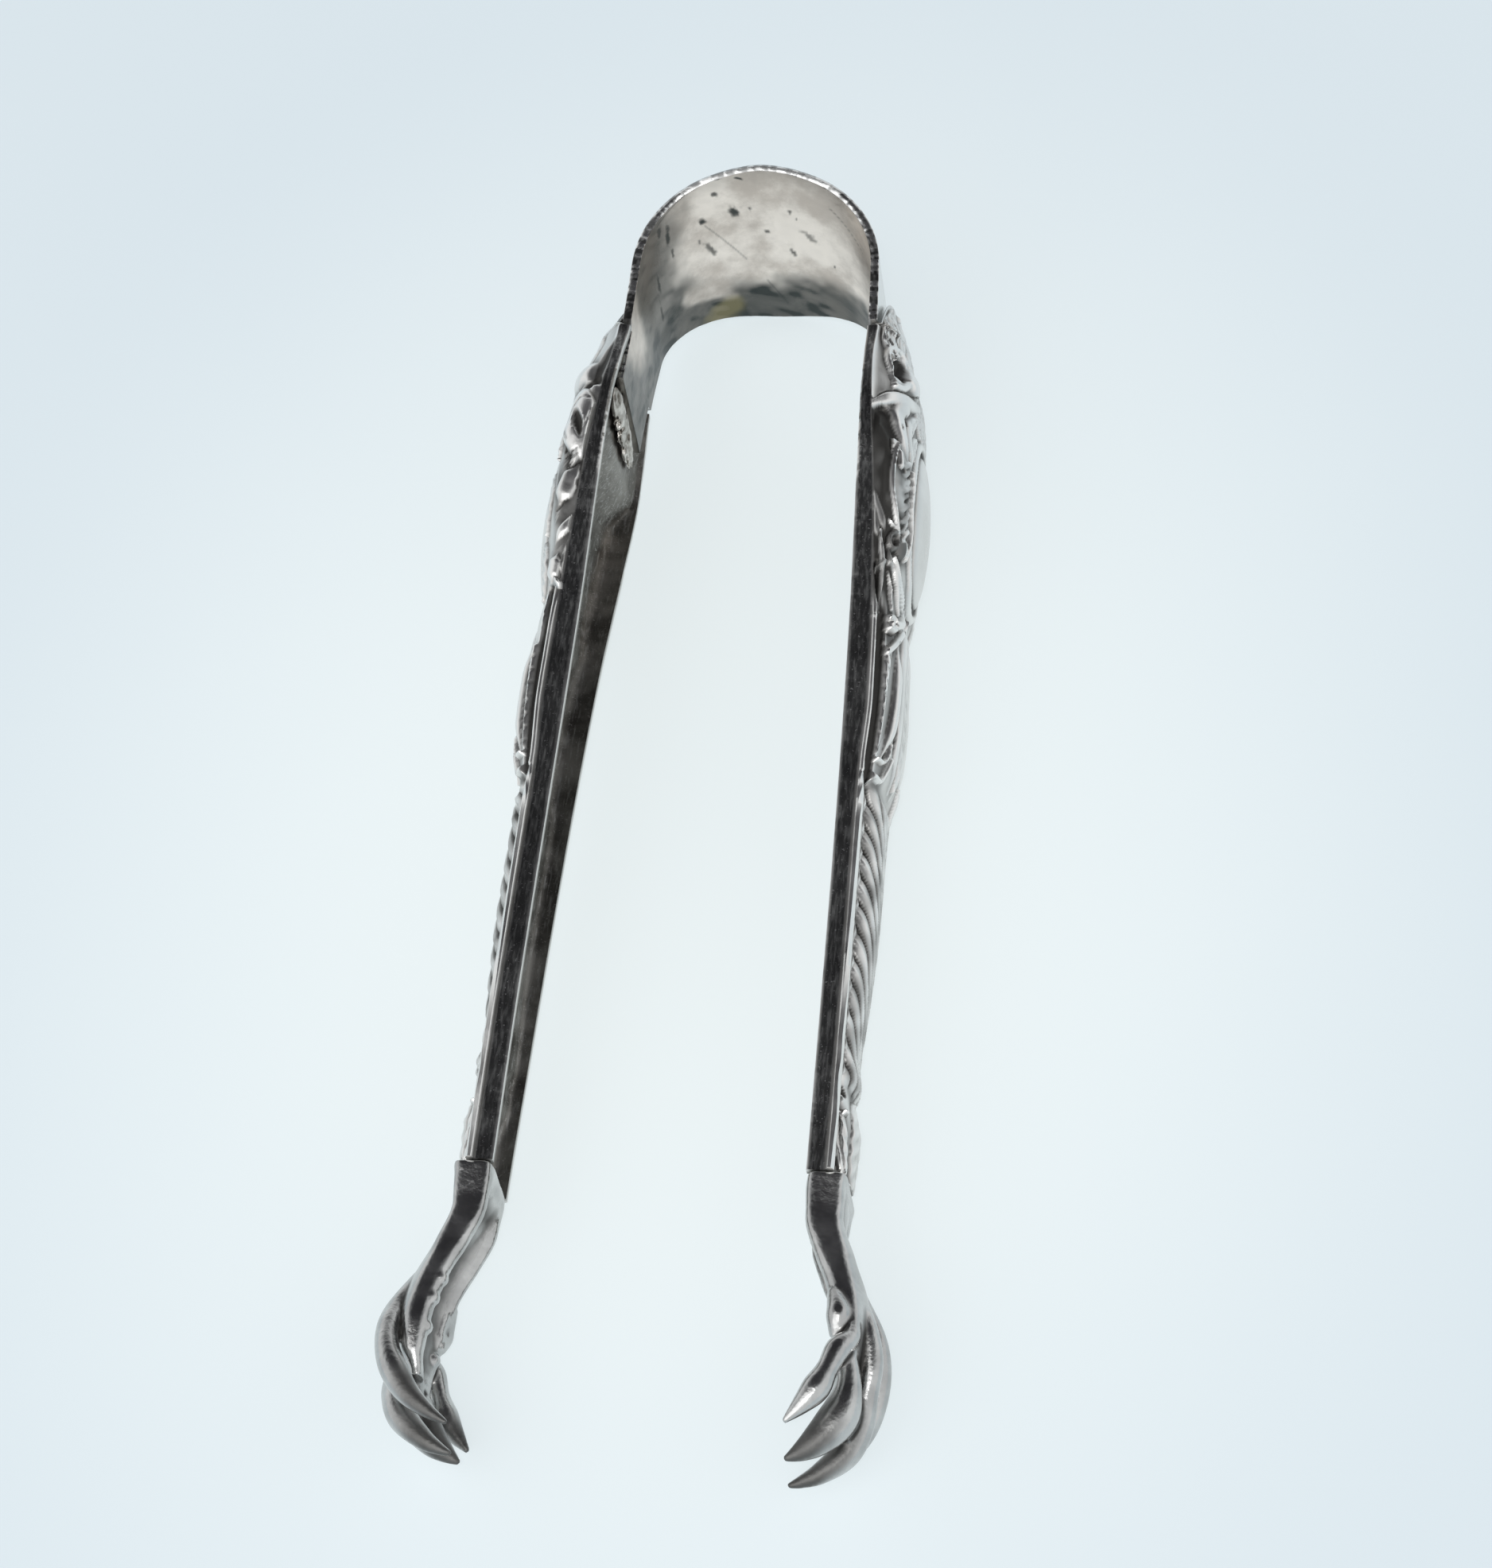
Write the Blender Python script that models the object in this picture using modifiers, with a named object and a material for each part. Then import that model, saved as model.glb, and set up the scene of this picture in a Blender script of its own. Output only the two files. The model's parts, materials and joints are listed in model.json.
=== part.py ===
"""Sugar tongs with claw feet: a plain spring bow, two ornate arms and two claws, soldered together.

Metres, +Z up. The tongs lie on their side, on the crown's lower edge and on both claws.
X runs across the arms, +Y points to the bow and -Y to the claws.
"""
import math

import bmesh
import bpy
import numpy as np
from mathutils import Vector

MM = 0.001

# Spring bow: a strip bent in a broad arc at the crown and a tighter one at each corner
STRIP_THICKNESS = 0.8 * MM
STRIP_EDGE_ROUND = 0.15 * MM
CROWN_RADIUS = 16.0 * MM
CROWN_TURN = math.radians(14.5)
CORNER_RADIUS = 8.2 * MM
CORNER_TURN = math.radians(73.1)
CROWN_HALF_WIDTH = 10.2 * MM
WAIST_HALF_WIDTH = 6.5 * MM
# share of the way from the crown's width to the waist's, along the strip from crown to waist
BOW_TAPER = ((0.0, 0.0), (0.25, 0.22), (0.5, 0.54), (0.75, 0.85), (1.0, 1.0))
BOW_STATIONS = 27
FLEX_SAMPLES = 200
LAP_STATIONS = 5
STRIP_COLUMNS = 5
BEVEL_ANGLE = math.radians(50)
SHARP_ANGLE = math.radians(35)
MERGE_DISTANCE = 0.01 * MM
TIP_MERGE_DISTANCE = 0.001 * MM

# Places along an arm are measured from the end of the bow's bend
WAIST_PLACE = 5.7 * MM
LAP_LENGTH = 5.2 * MM
LAP_STEP = 0.5 * MM
FIT_GAP = 0.3 * MM

# Arms
ARM_LENGTH = 87.5 * MM
ARM_TURN = math.radians(2.0)
TONGUE_LENGTH = 6.6 * MM
TONGUE_TIP_HALF_WIDTH = 1.2 * MM
TONGUE_TIP_FADE = 0.6 * MM
# 1 is a straight-sided tongue, less is rounder
TONGUE_ROUNDNESS = 0.8
TONGUE_EDGE = 0.3 * MM
ARM_WALL = 0.8 * MM
FLOOR_WALL = 1.1 * MM
FLOOR_RAMP = 5.0 * MM
LIP_SLOPE = 0.3 * MM
# most that the lip may slope, as a share of the channel's half-width
LIP_SHARE = 0.3
SHOULDER_HALF_WIDTH = 8.9 * MM
ANKLE_HALF_WIDTH = 3.7 * MM
# height of the channel's corners, as a share of the way from the lapped strip to the channel's floor
CORNER_SHARE = 0.5
STEM_CORNER_SHARE = 0.15
# half-width of the flat floor of the channel, as a share of the channel's
FLOOR_SHARE = 0.55
# place on the arm from its shoulder foot, and half-width as a share of the way from ankle to shoulder
ARM_TAPER = ((0.0, 0.58), (4.0, 0.78), (9.0, 0.96), (17.0, 0.79), (23.0, 0.61), (29.0, 0.45), (38.0, 0.32),
             (49.0, 0.22), (69.0, 0.10), (82.0, 0.0))
# place on the arm from its shoulder foot, and depth from the inner edge to the crest in millimetres
CREST_DEPTH = ((0.0, 3.5), (3.5, 4.1), (6.0, 4.7), (9.0, 4.8), (16.0, 4.85), (20.0, 4.8), (24.5, 4.7),
               (28.0, 4.1), (30.0, 4.4), (36.0, 4.5), (42.5, 4.25), (45.5, 3.6), (50.0, 3.5), (57.0, 3.45),
               (63.5, 3.15), (69.5, 2.75), (71.5, 3.0), (73.0, 2.8), (76.5, 3.4), (80.5, 3.25), (82.0, 3.2))
# place on the arm, and depth from the inner edge to the outer rim in millimetres
RIM_DEPTH = ((0.0, 1.0), (8.0, 1.2), (12.0, 1.5), (15.0, 1.75), (30.0, 1.9), (38.0, 1.95), (44.0, 1.65),
             (50.0, 1.5))
# place on the arm, and depth at which the upright side turns over into the rounded face, in millimetres
TURN_DEPTH = ((0.0, 1.0), (9.5, 1.25), (11.5, 1.5), (14.0, 2.5), (20.0, 2.6), (23.5, 1.9), (30.0, 1.75))
# place on the arm, and how boxy the rounded face is: 2 is an ellipse, more is boxier
SECTION_POWER = ((-7.0, 2.0), (8.0, 2.0), (22.0, 2.2), (40.0, 2.2), (82.0, 2.4))

# Main forms of the ornament, as smooth ovals in millimetres: place on the arm, girth from the middle of its
# face (plus on one side, minus on the other), half-length, half-width, height
MAIN_FORMS = {
    "boss": (17.6, 0.0, 7.9, 3.7, 0.95),
    "ground_round_the_boss": (17.6, 0.0, 10.0, 5.4, 0.30),
    "palmette_over_the_bow": (-1.0, 0.0, 5.0, 4.2, 0.24),
    "palmette_above_the_boss": (6.5, 0.0, 4.0, 3.5, 0.32),
    "upper_volute": (4.8, 6.6, 3.6, 2.6, 0.20),
    "upper_lobe": (3.8, 4.3, 3.6, 2.2, 0.32),
    "upper_sprays": (-0.5, 5.4, 2.8, 2.2, 0.30),
    "upper_hood": (9.3, 6.0, 1.6, 4.2, 0.24),
    "upper_leaves_under_the_hood": (12.0, 6.0, 3.2, 1.8, 0.26),
    "upper_feather_band": (18.0, 6.4, 5.0, 2.2, 0.33),
    "upper_curl": (23.2, 5.4, 1.8, 2.0, 0.29),
    "upper_leaf_folds": (27.0, 6.2, 3.6, 2.2, 0.22),
    "upper_leaf_foot": (29.4, 3.4, 3.4, 2.1, 0.32),
    "upper_long_lobe": (37.0, 3.2, 6.2, 1.6, 0.27),
    "lower_arch": (6.0, -6.2, 2.6, 3.4, 0.37),
    "lower_scroll": (11.8, -9.0, 3.6, 2.0, 0.27),
    "lower_leaves_by_the_scroll": (12.0, -5.6, 4.2, 1.8, 0.25),
    "lower_leaf": (18.2, -7.6, 2.6, 1.8, 0.20),
    "lower_sweep": (21.4, -7.8, 3.0, 1.8, 0.20),
    "lower_inner_leaf": (19.0, -5.0, 5.5, 1.7, 0.30),
    "lower_curl": (25.6, -6.0, 2.0, 1.6, 0.20),
    "lower_leaf_foot": (25.6, -4.0, 3.2, 1.6, 0.20),
    "lower_long_lobe": (37.0, -3.2, 6.2, 1.6, 0.26),
    "middle_lobes": (36.0, 0.0, 9.5, 2.6, 0.32),
    "leaf_above_the_ankle": (77.6, 0.0, 4.6, 1.7, 0.40),
}
# how full the forms' sides are: 0.5 is a half-ellipse, 1 a parabola
FORM_FULLNESS = 0.6
# how far the plain ground lies under the ornament's tops
GROUND_SINK = 0.3 * MM
RIM_FADE = 0.25 * MM
FACE_COLUMNS = 21
FACE_SAMPLES = 420
FACE_STATION = 1.0 * MM

# Rope-like stem on each arm, of strands that slant round it
STEM_START = 46.0 * MM
STEM_LENGTH = 26.5 * MM
STEM_PITCH = 2.3 * MM
STEM_STRAND_HEIGHT = 0.4 * MM
STEM_SLANT = 0.9
STEM_EDGE = 0.8 * MM
STEM_BLEND = 1.0 * MM
STATIONS_ON_A_STRAND = 4
# half-width of the stem, and of the leaf below it, as a share of the arm's
STEM_SHARE = 0.62

# Claws
CLAW_HALF_HEIGHT = 4.85 * MM
TOE_RADIUS = 1.25 * MM
TALON_TIP_RADIUS = 0.2 * MM
CLAW_LENGTH = 23.8 * MM
# palm stations in millimetres from the ankle: run, outward offset of the middle, half-thickness, half-height,
# and depth of the hollow on the inner side as a share of the thickness
PALM = ((0.0, 1.6, 1.6, 3.6, 0.0), (1.6, 1.5, 1.5, 3.4, 0.25), (3.2, 1.5, 1.45, 3.2, 0.5),
        (6.5, 2.5, 1.6, 3.2, 0.5), (9.8, 3.7, 1.6, 3.3, 0.5), (13.0, 4.2, 1.5, 3.4, 0.4),
        (15.6, 4.2, 1.1, 3.1, 0.3), (17.4, 3.6, 0.6, 2.4, 0.0))
PALM_SIDES = 20
# corners of the palm's section: 1 is an oval, less is boxier
PALM_CORNERS = 0.6
# half-height of the hollow, as a share of the palm's
HOLLOW_SHARE = 0.72
# how evenly the hollow reaches round the inner side: less is fuller at its edges
HOLLOW_SPREAD = 0.5
# toes in millimetres from the ankle: run, outward offset, share of the side toe's reach in Z, share of radius
SIDE_TOE = ((8.0, 4.1, 0.45, 0.75), (10.6, 5.1, 0.75, 1.0), (13.0, 5.45, 0.94, 0.9), (15.0, 5.3, 1.0, 0.82),
            (17.0, 4.7, 1.0, 1.0), (18.8, 3.3, 1.0, 0.78), (20.0, 1.9, 1.0, 0.45), (20.7, 0.4, 0.97, 0.0))
MIDDLE_TOE = ((8.6, 4.3, 0.22, 0.75), (11.5, 5.5, 0.32, 1.0), (14.4, 5.95, 0.4, 0.9), (17.0, 5.75, 0.44, 0.82),
              (19.4, 4.9, 0.45, 1.0), (21.4, 3.4, 0.45, 0.78), (22.8, 1.9, 0.44, 0.45), (23.5, 0.3, 0.42, 0.0))
TOE_SIDES_RESOLUTION = 2
TOE_STATIONS = 15

# Solder where the bow's end laps into each arm
SOLDER_HALF_LENGTH = 1.2 * MM
SOLDER_HALF_WIDTH = 4.9 * MM
SOLDER_THICKNESS = 0.7 * MM
SOLDER_RINGS = 9
SOLDER_LUMPS = 5
SOLDER_LUMP_SHARE = 0.12

# Worn flats on which the tongs lie
REST_FLAT_DEPTH = 0.1 * MM
GROUND_SIZE = 300.0 * MM
GROUND_DEPTH = 10.0 * MM

BEND_LENGTH = CROWN_RADIUS * CROWN_TURN + CORNER_RADIUS * CORNER_TURN
WAIST = BEND_LENGTH + WAIST_PLACE
BOW_END = WAIST + LAP_STEP + LAP_LENGTH
SHOULDER_FOOT = WAIST + LAP_STEP + FIT_GAP
ARM_END = BEND_LENGTH + ARM_LENGTH
LAP_HALF_WIDTH = WAIST_HALF_WIDTH - ARM_WALL - FIT_GAP

MATERIALS = {
    "satin_silver": ((0.72, 0.68, 0.65), 0.32),
    "chased_silver": ((0.70, 0.69, 0.68), 0.24),
    "silver_solder": ((0.66, 0.63, 0.58), 0.38),
}


def smooth(table, places):
    """Values of a (place, value) table, joined by cubics that never overshoot the values."""
    knots, values = np.array(table, float).T
    rise = np.diff(values) / np.diff(knots)
    product = rise[1:] * rise[:-1]
    total = np.where(product > 0, rise[1:] + rise[:-1], 1.0)
    slope = np.zeros_like(values)
    slope[1:-1] = np.where(product > 0, 2 * product / total, 0.0)
    p = np.clip(places, knots[0], knots[-1])
    k = np.clip(np.searchsorted(knots, p, side="right") - 1, 0, len(knots) - 2)
    width = knots[k + 1] - knots[k]
    u = (p - knots[k]) / width
    start = (1 + 2 * u) * (1 - u) ** 2 * values[k] + u * (1 - u) ** 2 * width * slope[k]
    end = u ** 2 * (3 - 2 * u) * values[k + 1] + u ** 2 * (u - 1) * width * slope[k + 1]
    return start + end


def step(low, high, value):
    """0 below low, 1 above high, and a smooth rise between them."""
    u = np.clip((value - low) / (high - low), 0.0, 1.0)
    return u * u * (3 - 2 * u)


def arc(x, y, heading, length, turn, run):
    """Point and heading after a run along an arc of the given length and turn."""
    part = np.clip(run, 0.0, length)
    radius = length / turn
    new = heading + turn * part / length
    return x + radius * (np.sin(new) - np.sin(heading)), y + radius * (np.cos(new) - np.cos(heading)), new


def track(s):
    """Inner line of the right half: x, y and heading at arc length s from the crown.

    The heading turns from +X towards -Y. The crown's outer face is at y = 0.
    """
    s = np.asarray(s, float)
    crown = CROWN_RADIUS * CROWN_TURN
    corner = CORNER_RADIUS * CORNER_TURN
    x, y, heading = arc(0.0, -STRIP_THICKNESS, 0.0, crown, CROWN_TURN, s)
    x, y, heading = arc(x, y, heading, corner, CORNER_TURN, s - crown)
    return arc(x, y, heading, ARM_LENGTH, ARM_TURN, s - crown - corner)


def in_section(s, offset, z, side):
    """Points at an outward offset and a height from the inner line, on the right (side 1) or the left (-1)."""
    x, y, heading = track(s)
    return np.stack([side * (x + offset * np.sin(heading)), y + offset * np.cos(heading), z + 0 * x], -1)


def bow_half_width(s):
    share = smooth(BOW_TAPER, s / WAIST)
    free = CROWN_HALF_WIDTH + (WAIST_HALF_WIDTH - CROWN_HALF_WIDTH) * share
    return free + (LAP_HALF_WIDTH - free) * np.clip((s - WAIST) / LAP_STEP, 0.0, 1.0)


def flex_centre():
    """Elastic centre of one half of the bow, about which its arm turns when the tongs are squeezed.

    Each short length of strip counts by its flexibility, the inverse of its width.
    """
    s = np.linspace(0.0, WAIST, FLEX_SAMPLES)
    middle = in_section(s, STRIP_THICKNESS / 2, 0.0, 1)
    weight = 1.0 / bow_half_width(s)
    x, y, _ = (middle * weight[:, None]).sum(0) / weight.sum()
    return float(x), float(y)


def new_object(name, mesh, material, collection):
    obj = bpy.data.objects.new(name, mesh)
    collection.objects.link(obj)
    if material is not None:
        mesh.materials.append(material)
    return obj


def make_material(name):
    colour, roughness = MATERIALS[name]
    material = bpy.data.materials.new(name)
    material.use_nodes = True
    shader = material.node_tree.nodes["Principled BSDF"]
    shader.inputs["Base Color"].default_value = (*colour, 1.0)
    shader.inputs["Metallic"].default_value = 1.0
    shader.inputs["Roughness"].default_value = roughness
    return material


def grid_faces(rows, columns, closed):
    """Quads of a grid of points, row by row, closed round in the columns if asked."""
    faces = []
    for i in range(rows - 1):
        for j in range(columns if closed else columns - 1):
            k = (j + 1) % columns
            faces.append((i * columns + j, i * columns + k, (i + 1) * columns + k, (i + 1) * columns + j))
    return faces


def loft(name, rings, origin):
    """Closed mesh through equal rings of points, with a flat cap at each end, about the given origin."""
    rows, columns, _ = rings.shape
    faces = grid_faces(rows, columns, True)
    faces.append(tuple(range(columns))[::-1])
    faces.append(tuple((rows - 1) * columns + j for j in range(columns)))
    mesh = bpy.data.meshes.new(name)
    mesh.from_pydata((rings - origin).reshape(-1, 3).tolist(), [], faces)
    face_outwards(mesh)
    return mesh


def face_outwards(mesh):
    work = bmesh.new()
    work.from_mesh(mesh)
    bmesh.ops.recalc_face_normals(work, faces=work.faces)
    if work.calc_volume(signed=True) < 0:
        bmesh.ops.reverse_faces(work, faces=work.faces)
    work.to_mesh(mesh)
    work.free()


def shade(mesh):
    mesh.shade_smooth()
    mesh.set_sharp_from_angle(angle=SHARP_ANGLE)


def make_bow(collection, material):
    """Strip as an open sheet for one half, mirrored at the crown, thickened outwards and rounded at its edges."""
    free = np.linspace(0.0, WAIST, BOW_STATIONS)
    lapped = np.linspace(WAIST + LAP_STEP, BOW_END, LAP_STATIONS)
    rows = np.concatenate([free, lapped])
    across = np.linspace(-1.0, 1.0, STRIP_COLUMNS)
    s = np.repeat(rows[:, None], len(across), 1)
    points = in_section(s, 0.0, bow_half_width(s) * across, 1)
    mesh = bpy.data.meshes.new("spring_bow")
    faces = grid_faces(len(rows), len(across), False)
    mesh.from_pydata(points.reshape(-1, 3).tolist(), [], faces)
    shade(mesh)
    bow = new_object("spring_bow", mesh, material, collection)
    mirror = bow.modifiers.new("other_half", "MIRROR")
    mirror.use_axis = (True, False, False)
    mirror.merge_threshold = MERGE_DISTANCE
    wall = bow.modifiers.new("strip", "SOLIDIFY")
    wall.thickness = STRIP_THICKNESS
    wall.offset = 1.0
    wall.use_even_offset = True
    rounding = bow.modifiers.new("soft_edges", "BEVEL")
    rounding.width = STRIP_EDGE_ROUND
    rounding.segments = 1
    rounding.limit_method = "ANGLE"
    rounding.angle_limit = BEVEL_ANGLE
    return bow


def arm_half_width(a):
    """Half-width of the arm, where a is measured from its shoulder foot: the tongue above it, the taper below."""
    share = smooth(ARM_TAPER, a / MM)
    taper = ANKLE_HALF_WIDTH + (SHOULDER_HALF_WIDTH - ANKLE_HALF_WIDTH) * share
    foot = ANKLE_HALF_WIDTH + (SHOULDER_HALF_WIDTH - ANKLE_HALF_WIDTH) * ARM_TAPER[0][1]
    from_tip = np.clip(1 + a / TONGUE_LENGTH, 0, 1)
    tongue = TONGUE_TIP_HALF_WIDTH + (foot - TONGUE_TIP_HALF_WIDTH) * from_tip ** TONGUE_ROUNDNESS
    return np.where(a < 0, tongue, taper)


def arm_crest(a):
    """Depth of the crest over the inner edge, with the tongue thinning to its tip on the bow's outer face."""
    tip = STRIP_THICKNESS + FIT_GAP + ARM_WALL
    full = smooth(CREST_DEPTH, a / MM) * MM
    return np.where(a < 0, tip + (full - tip) * np.clip(1 + a / TONGUE_LENGTH, 0, 1), full)


def arm_base(a):
    """Offset of the arm's inner edge: over the bow's strip on the tongue, then down to the inner line."""
    return (STRIP_THICKNESS + FIT_GAP) * (1.0 - step(-FIT_GAP, 0.0, a))


def arm_rim(a):
    """Offset of the outer rim, where the side wall meets the ornate face."""
    return np.where(a < 0, arm_base(a) + TONGUE_EDGE, smooth(RIM_DEPTH, a / MM) * MM)


def share_in_stem(a):
    return step(STEM_START - STEM_BLEND, STEM_START + STEM_BLEND, a)


def plain_face(a):
    """Plain outer face at places a: height, offset and signed girth from its middle, one row for each place.

    The side stands upright from the rim to the turn, and from there the offset rises as a superellipse.
    Each row's points are shared out evenly along its girth.
    """
    half = arm_half_width(a)[:, None]
    rim = arm_rim(a)[:, None]
    turn = np.maximum(rim, np.where(a < 0, 0.0, smooth(TURN_DEPTH, a / MM) * MM)[:, None])
    power = smooth(SECTION_POWER, a / MM)[:, None]
    t = np.sin(np.linspace(-math.pi / 2, math.pi / 2, FACE_SAMPLES))[None, :]
    across = np.abs(t) / (1.0 + (STEM_SHARE - 1.0) * share_in_stem(a)[:, None])
    dome = np.clip(1.0 - across ** power, 0.0, 1.0) ** (1.0 / power)
    upright = rim + (turn - rim) * np.linspace(0.0, 1.0, FACE_COLUMNS)[None, :]
    face = turn + np.maximum(arm_crest(a)[:, None] - GROUND_SINK - turn, 0.0) * dome
    z = half * np.concatenate([0 * upright - 1, t + 0 * half, 0 * upright + 1], 1)
    offset = np.concatenate([upright, face, upright[:, ::-1]], 1)
    run = np.cumsum(np.hypot(np.diff(z), np.diff(offset)), 1)
    girth = np.concatenate([np.zeros_like(half), run], 1)
    girth -= girth[:, -1:] / 2
    share = np.linspace(-1.0, 1.0, FACE_COLUMNS)
    rows = [[np.interp(share * g[-1], g, line) for line in (h, o, g)] for h, o, g in zip(z, offset, girth)]
    return np.array(rows).transpose(1, 0, 2)


def main_relief(a, girth):
    """Height of the ornament's main forms and of the rope-like stem over the plain face."""
    limit = girth[:, -1:]
    height = np.zeros_like(girth)
    for place, middle, half_length, half_width, rise in MAIN_FORMS.values():
        far = np.hypot((a / MM - place) / half_length, (girth / MM - middle) / half_width)
        height += rise * MM * np.clip(1.0 - far ** 2, 0.0, 1.0) ** FORM_FULLNESS
    strand = 0.5 - 0.5 * np.cos(2 * math.pi * (a - STEM_START + STEM_SLANT * girth) / STEM_PITCH)
    on_stem = step(0.0, STEM_BLEND, a - STEM_START) * (1.0 - step(-STEM_BLEND, 0.0, a - STEM_START - STEM_LENGTH))
    inside = 1.0 - step(limit - STEM_EDGE - RIM_FADE, limit - STEM_EDGE, np.abs(girth))
    height += STEM_STRAND_HEIGHT * strand * on_stem * inside
    tip = step(-TONGUE_LENGTH, TONGUE_TIP_FADE - TONGUE_LENGTH, a)
    return height * tip * step(0.0, RIM_FADE, limit - np.abs(girth))


def ornate_face(a):
    """Outer face with its relief, raised square to the plain face: height and offset, one row for each place."""
    z, offset, girth = plain_face(a)
    height = main_relief(a[:, None], girth)
    dz = np.gradient(z, axis=1)
    do = np.gradient(offset, axis=1)
    length = np.hypot(dz, do)
    return z - height * do / length, offset + height * dz / length


def channel_floor(a):
    """Offset of the floor of the hollow channel: on the lapped strip first, then deep under the relief."""
    lapped = STRIP_THICKNESS + FIT_GAP
    deep = np.maximum(arm_crest(a) - FLOOR_WALL, lapped)
    end = LAP_LENGTH + 2 * SOLDER_HALF_LENGTH + FIT_GAP
    return lapped + (deep - lapped) * step(end, end + FLOOR_RAMP, a)


def arm_places():
    """Stations along the arm from its shoulder foot, closer together on the rope-like stem."""
    stem_end = STEM_START + STEM_LENGTH
    end = ARM_END - SHOULDER_FOOT
    on_tongue = round(TONGUE_LENGTH / FACE_STATION)
    on_stem = round(STATIONS_ON_A_STRAND * STEM_LENGTH / STEM_PITCH)
    parts = [
        np.linspace(-TONGUE_LENGTH, -FIT_GAP, on_tongue),
        np.linspace(0.0, STEM_START, round(STEM_START / FACE_STATION) + 1)[:-1],
        np.linspace(STEM_START, stem_end, on_stem),
        np.linspace(stem_end, end, round((end - stem_end) / FACE_STATION) + 1)[1:],
    ]
    return np.concatenate(parts)


def make_arm(name, side, origin, collection, material):
    """Loft of one arm: ornate outer face, a side wall at each edge, and a hollow channel inside.

    Both arms are the same casting: the left one is the right one turned half round, not mirrored.
    """
    a = arm_places()
    half = arm_half_width(a)
    base = arm_base(a)
    inner_half = half - ARM_WALL
    floor = np.where(a < 0, base, channel_floor(a))
    lapped = STRIP_THICKNESS + FIT_GAP
    corner_share = CORNER_SHARE + (STEM_CORNER_SHARE - CORNER_SHARE) * share_in_stem(a)
    corner = np.where(a < 0, base, lapped + corner_share * (floor - lapped))
    lip = np.where(a < 0, 0.0, np.minimum(LIP_SLOPE, LIP_SHARE * inner_half))
    face_z, face_offset = ornate_face(a)
    ring = [(-half, base)]
    ring += list(zip(face_z.T, face_offset.T))
    ring += [(half, base), (inner_half, base), (inner_half - lip, corner), (FLOOR_SHARE * inner_half, floor)]
    ring += [(-FLOOR_SHARE * inner_half, floor), (-inner_half + lip, corner), (-inner_half, base)]
    s = a + SHOULDER_FOOT
    rings = np.stack([in_section(s, offset, side * z, side) for z, offset in ring], 1)
    mesh = loft(name, rings, origin)
    shade(mesh)
    return new_object(name, mesh, material, collection)


def put_at_ankle(obj, side, axis):
    """Hangs a piece that is made in the claw's own frame on the arm's end: local X goes on along the arm."""
    x, y, heading = track(ARM_END)
    obj.parent = axis
    obj.location = (side * x - axis.location.x, y - axis.location.y, 0.0)
    obj.rotation_euler = (0.0, 0.0, -heading if side > 0 else math.pi + heading)


def make_toe(name, path, side, sign, cutters):
    """Tapering toe with its talon, as a bevelled curve through the path, made a closed mesh."""
    run, offset, height, radius = np.array(path).T
    steps = np.linspace(run[0], run[-1], TOE_STATIONS)
    reach = (CLAW_HALF_HEIGHT - TOE_RADIUS) * sign
    curve = bpy.data.curves.new(name, "CURVE")
    curve.dimensions = "3D"
    curve.bevel_depth = TOE_RADIUS
    curve.bevel_resolution = TOE_SIDES_RESOLUTION
    curve.use_fill_caps = True
    spline = curve.splines.new("POLY")
    spline.points.add(len(steps) - 1)
    stretch = (CLAW_LENGTH - TALON_TIP_RADIUS) / (MIDDLE_TOE[-1][0] * MM)
    for point, here in zip(spline.points, steps):
        along = FIT_GAP + here * MM * stretch
        outward = smooth(np.stack([run, offset], 1), here) * MM
        level = smooth(np.stack([run, height], 1), here) * reach
        share = smooth(np.stack([run, radius], 1), here)
        point.co = (along, side * outward, level, 1.0)
        point.radius = (TALON_TIP_RADIUS + (TOE_RADIUS - TALON_TIP_RADIUS) * share) / TOE_RADIUS
    tube = bpy.data.objects.new(name, curve)
    cutters.objects.link(tube)
    bpy.context.view_layer.update()
    mesh = bpy.data.meshes.new_from_object(tube.evaluated_get(bpy.context.evaluated_depsgraph_get()))
    bpy.data.objects.remove(tube)
    work = bmesh.new()
    work.from_mesh(mesh)
    bmesh.ops.remove_doubles(work, verts=work.verts, dist=TIP_MERGE_DISTANCE)
    work.to_mesh(mesh)
    work.free()
    face_outwards(mesh)
    return as_cutter(new_object(name, mesh, None, cutters))


def as_cutter(obj):
    obj.hide_render = True
    obj.display_type = "WIRE"
    return obj


def make_claw(name, side, axis, collection, cutters, material):
    """Palm lofted from the ankle and hollowed on its inner side, with four clawed toes joined to it.

    All are made in the claw's own frame: X goes on along the arm, and Y outwards on the right side and
    inwards on the left.
    """
    angle = np.linspace(0.0, 2 * math.pi, PALM_SIDES, endpoint=False)
    cos, sin = np.cos(angle), np.sin(angle)
    rings = []
    for run, middle, thick, high, hollow in PALM:
        across = np.sign(cos) * np.abs(cos) ** PALM_CORNERS * thick
        up = np.sign(sin) * np.abs(sin) ** PALM_CORNERS * high
        inward = np.clip(-cos, 0.0, 1.0) ** HOLLOW_SPREAD
        level = up / (HOLLOW_SHARE * high)
        across = across + hollow * 2 * thick * inward * np.clip(1.0 - level ** 2, 0.0, 1.0)
        along = FIT_GAP + run * MM + 0 * across
        rings.append(np.stack([along, side * (middle + across) * MM, up * MM], -1))
    mesh = loft(name, np.array(rings), (0.0, 0.0, 0.0))
    shade(mesh)
    claw = new_object(name, mesh, material, collection)
    put_at_ankle(claw, side, axis)
    for path, label in ((SIDE_TOE, "side"), (MIDDLE_TOE, "middle")):
        for sign, level in ((1, "upper"), (-1, "lower")):
            toe = make_toe(f"{name}_{level}_{label}_toe", path, side, sign, cutters)
            put_at_ankle(toe, side, axis)
            join = claw.modifiers.new(toe.name, "BOOLEAN")
            join.operation = "UNION"
            join.solver = "EXACT"
            join.object = toe
    return claw


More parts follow.
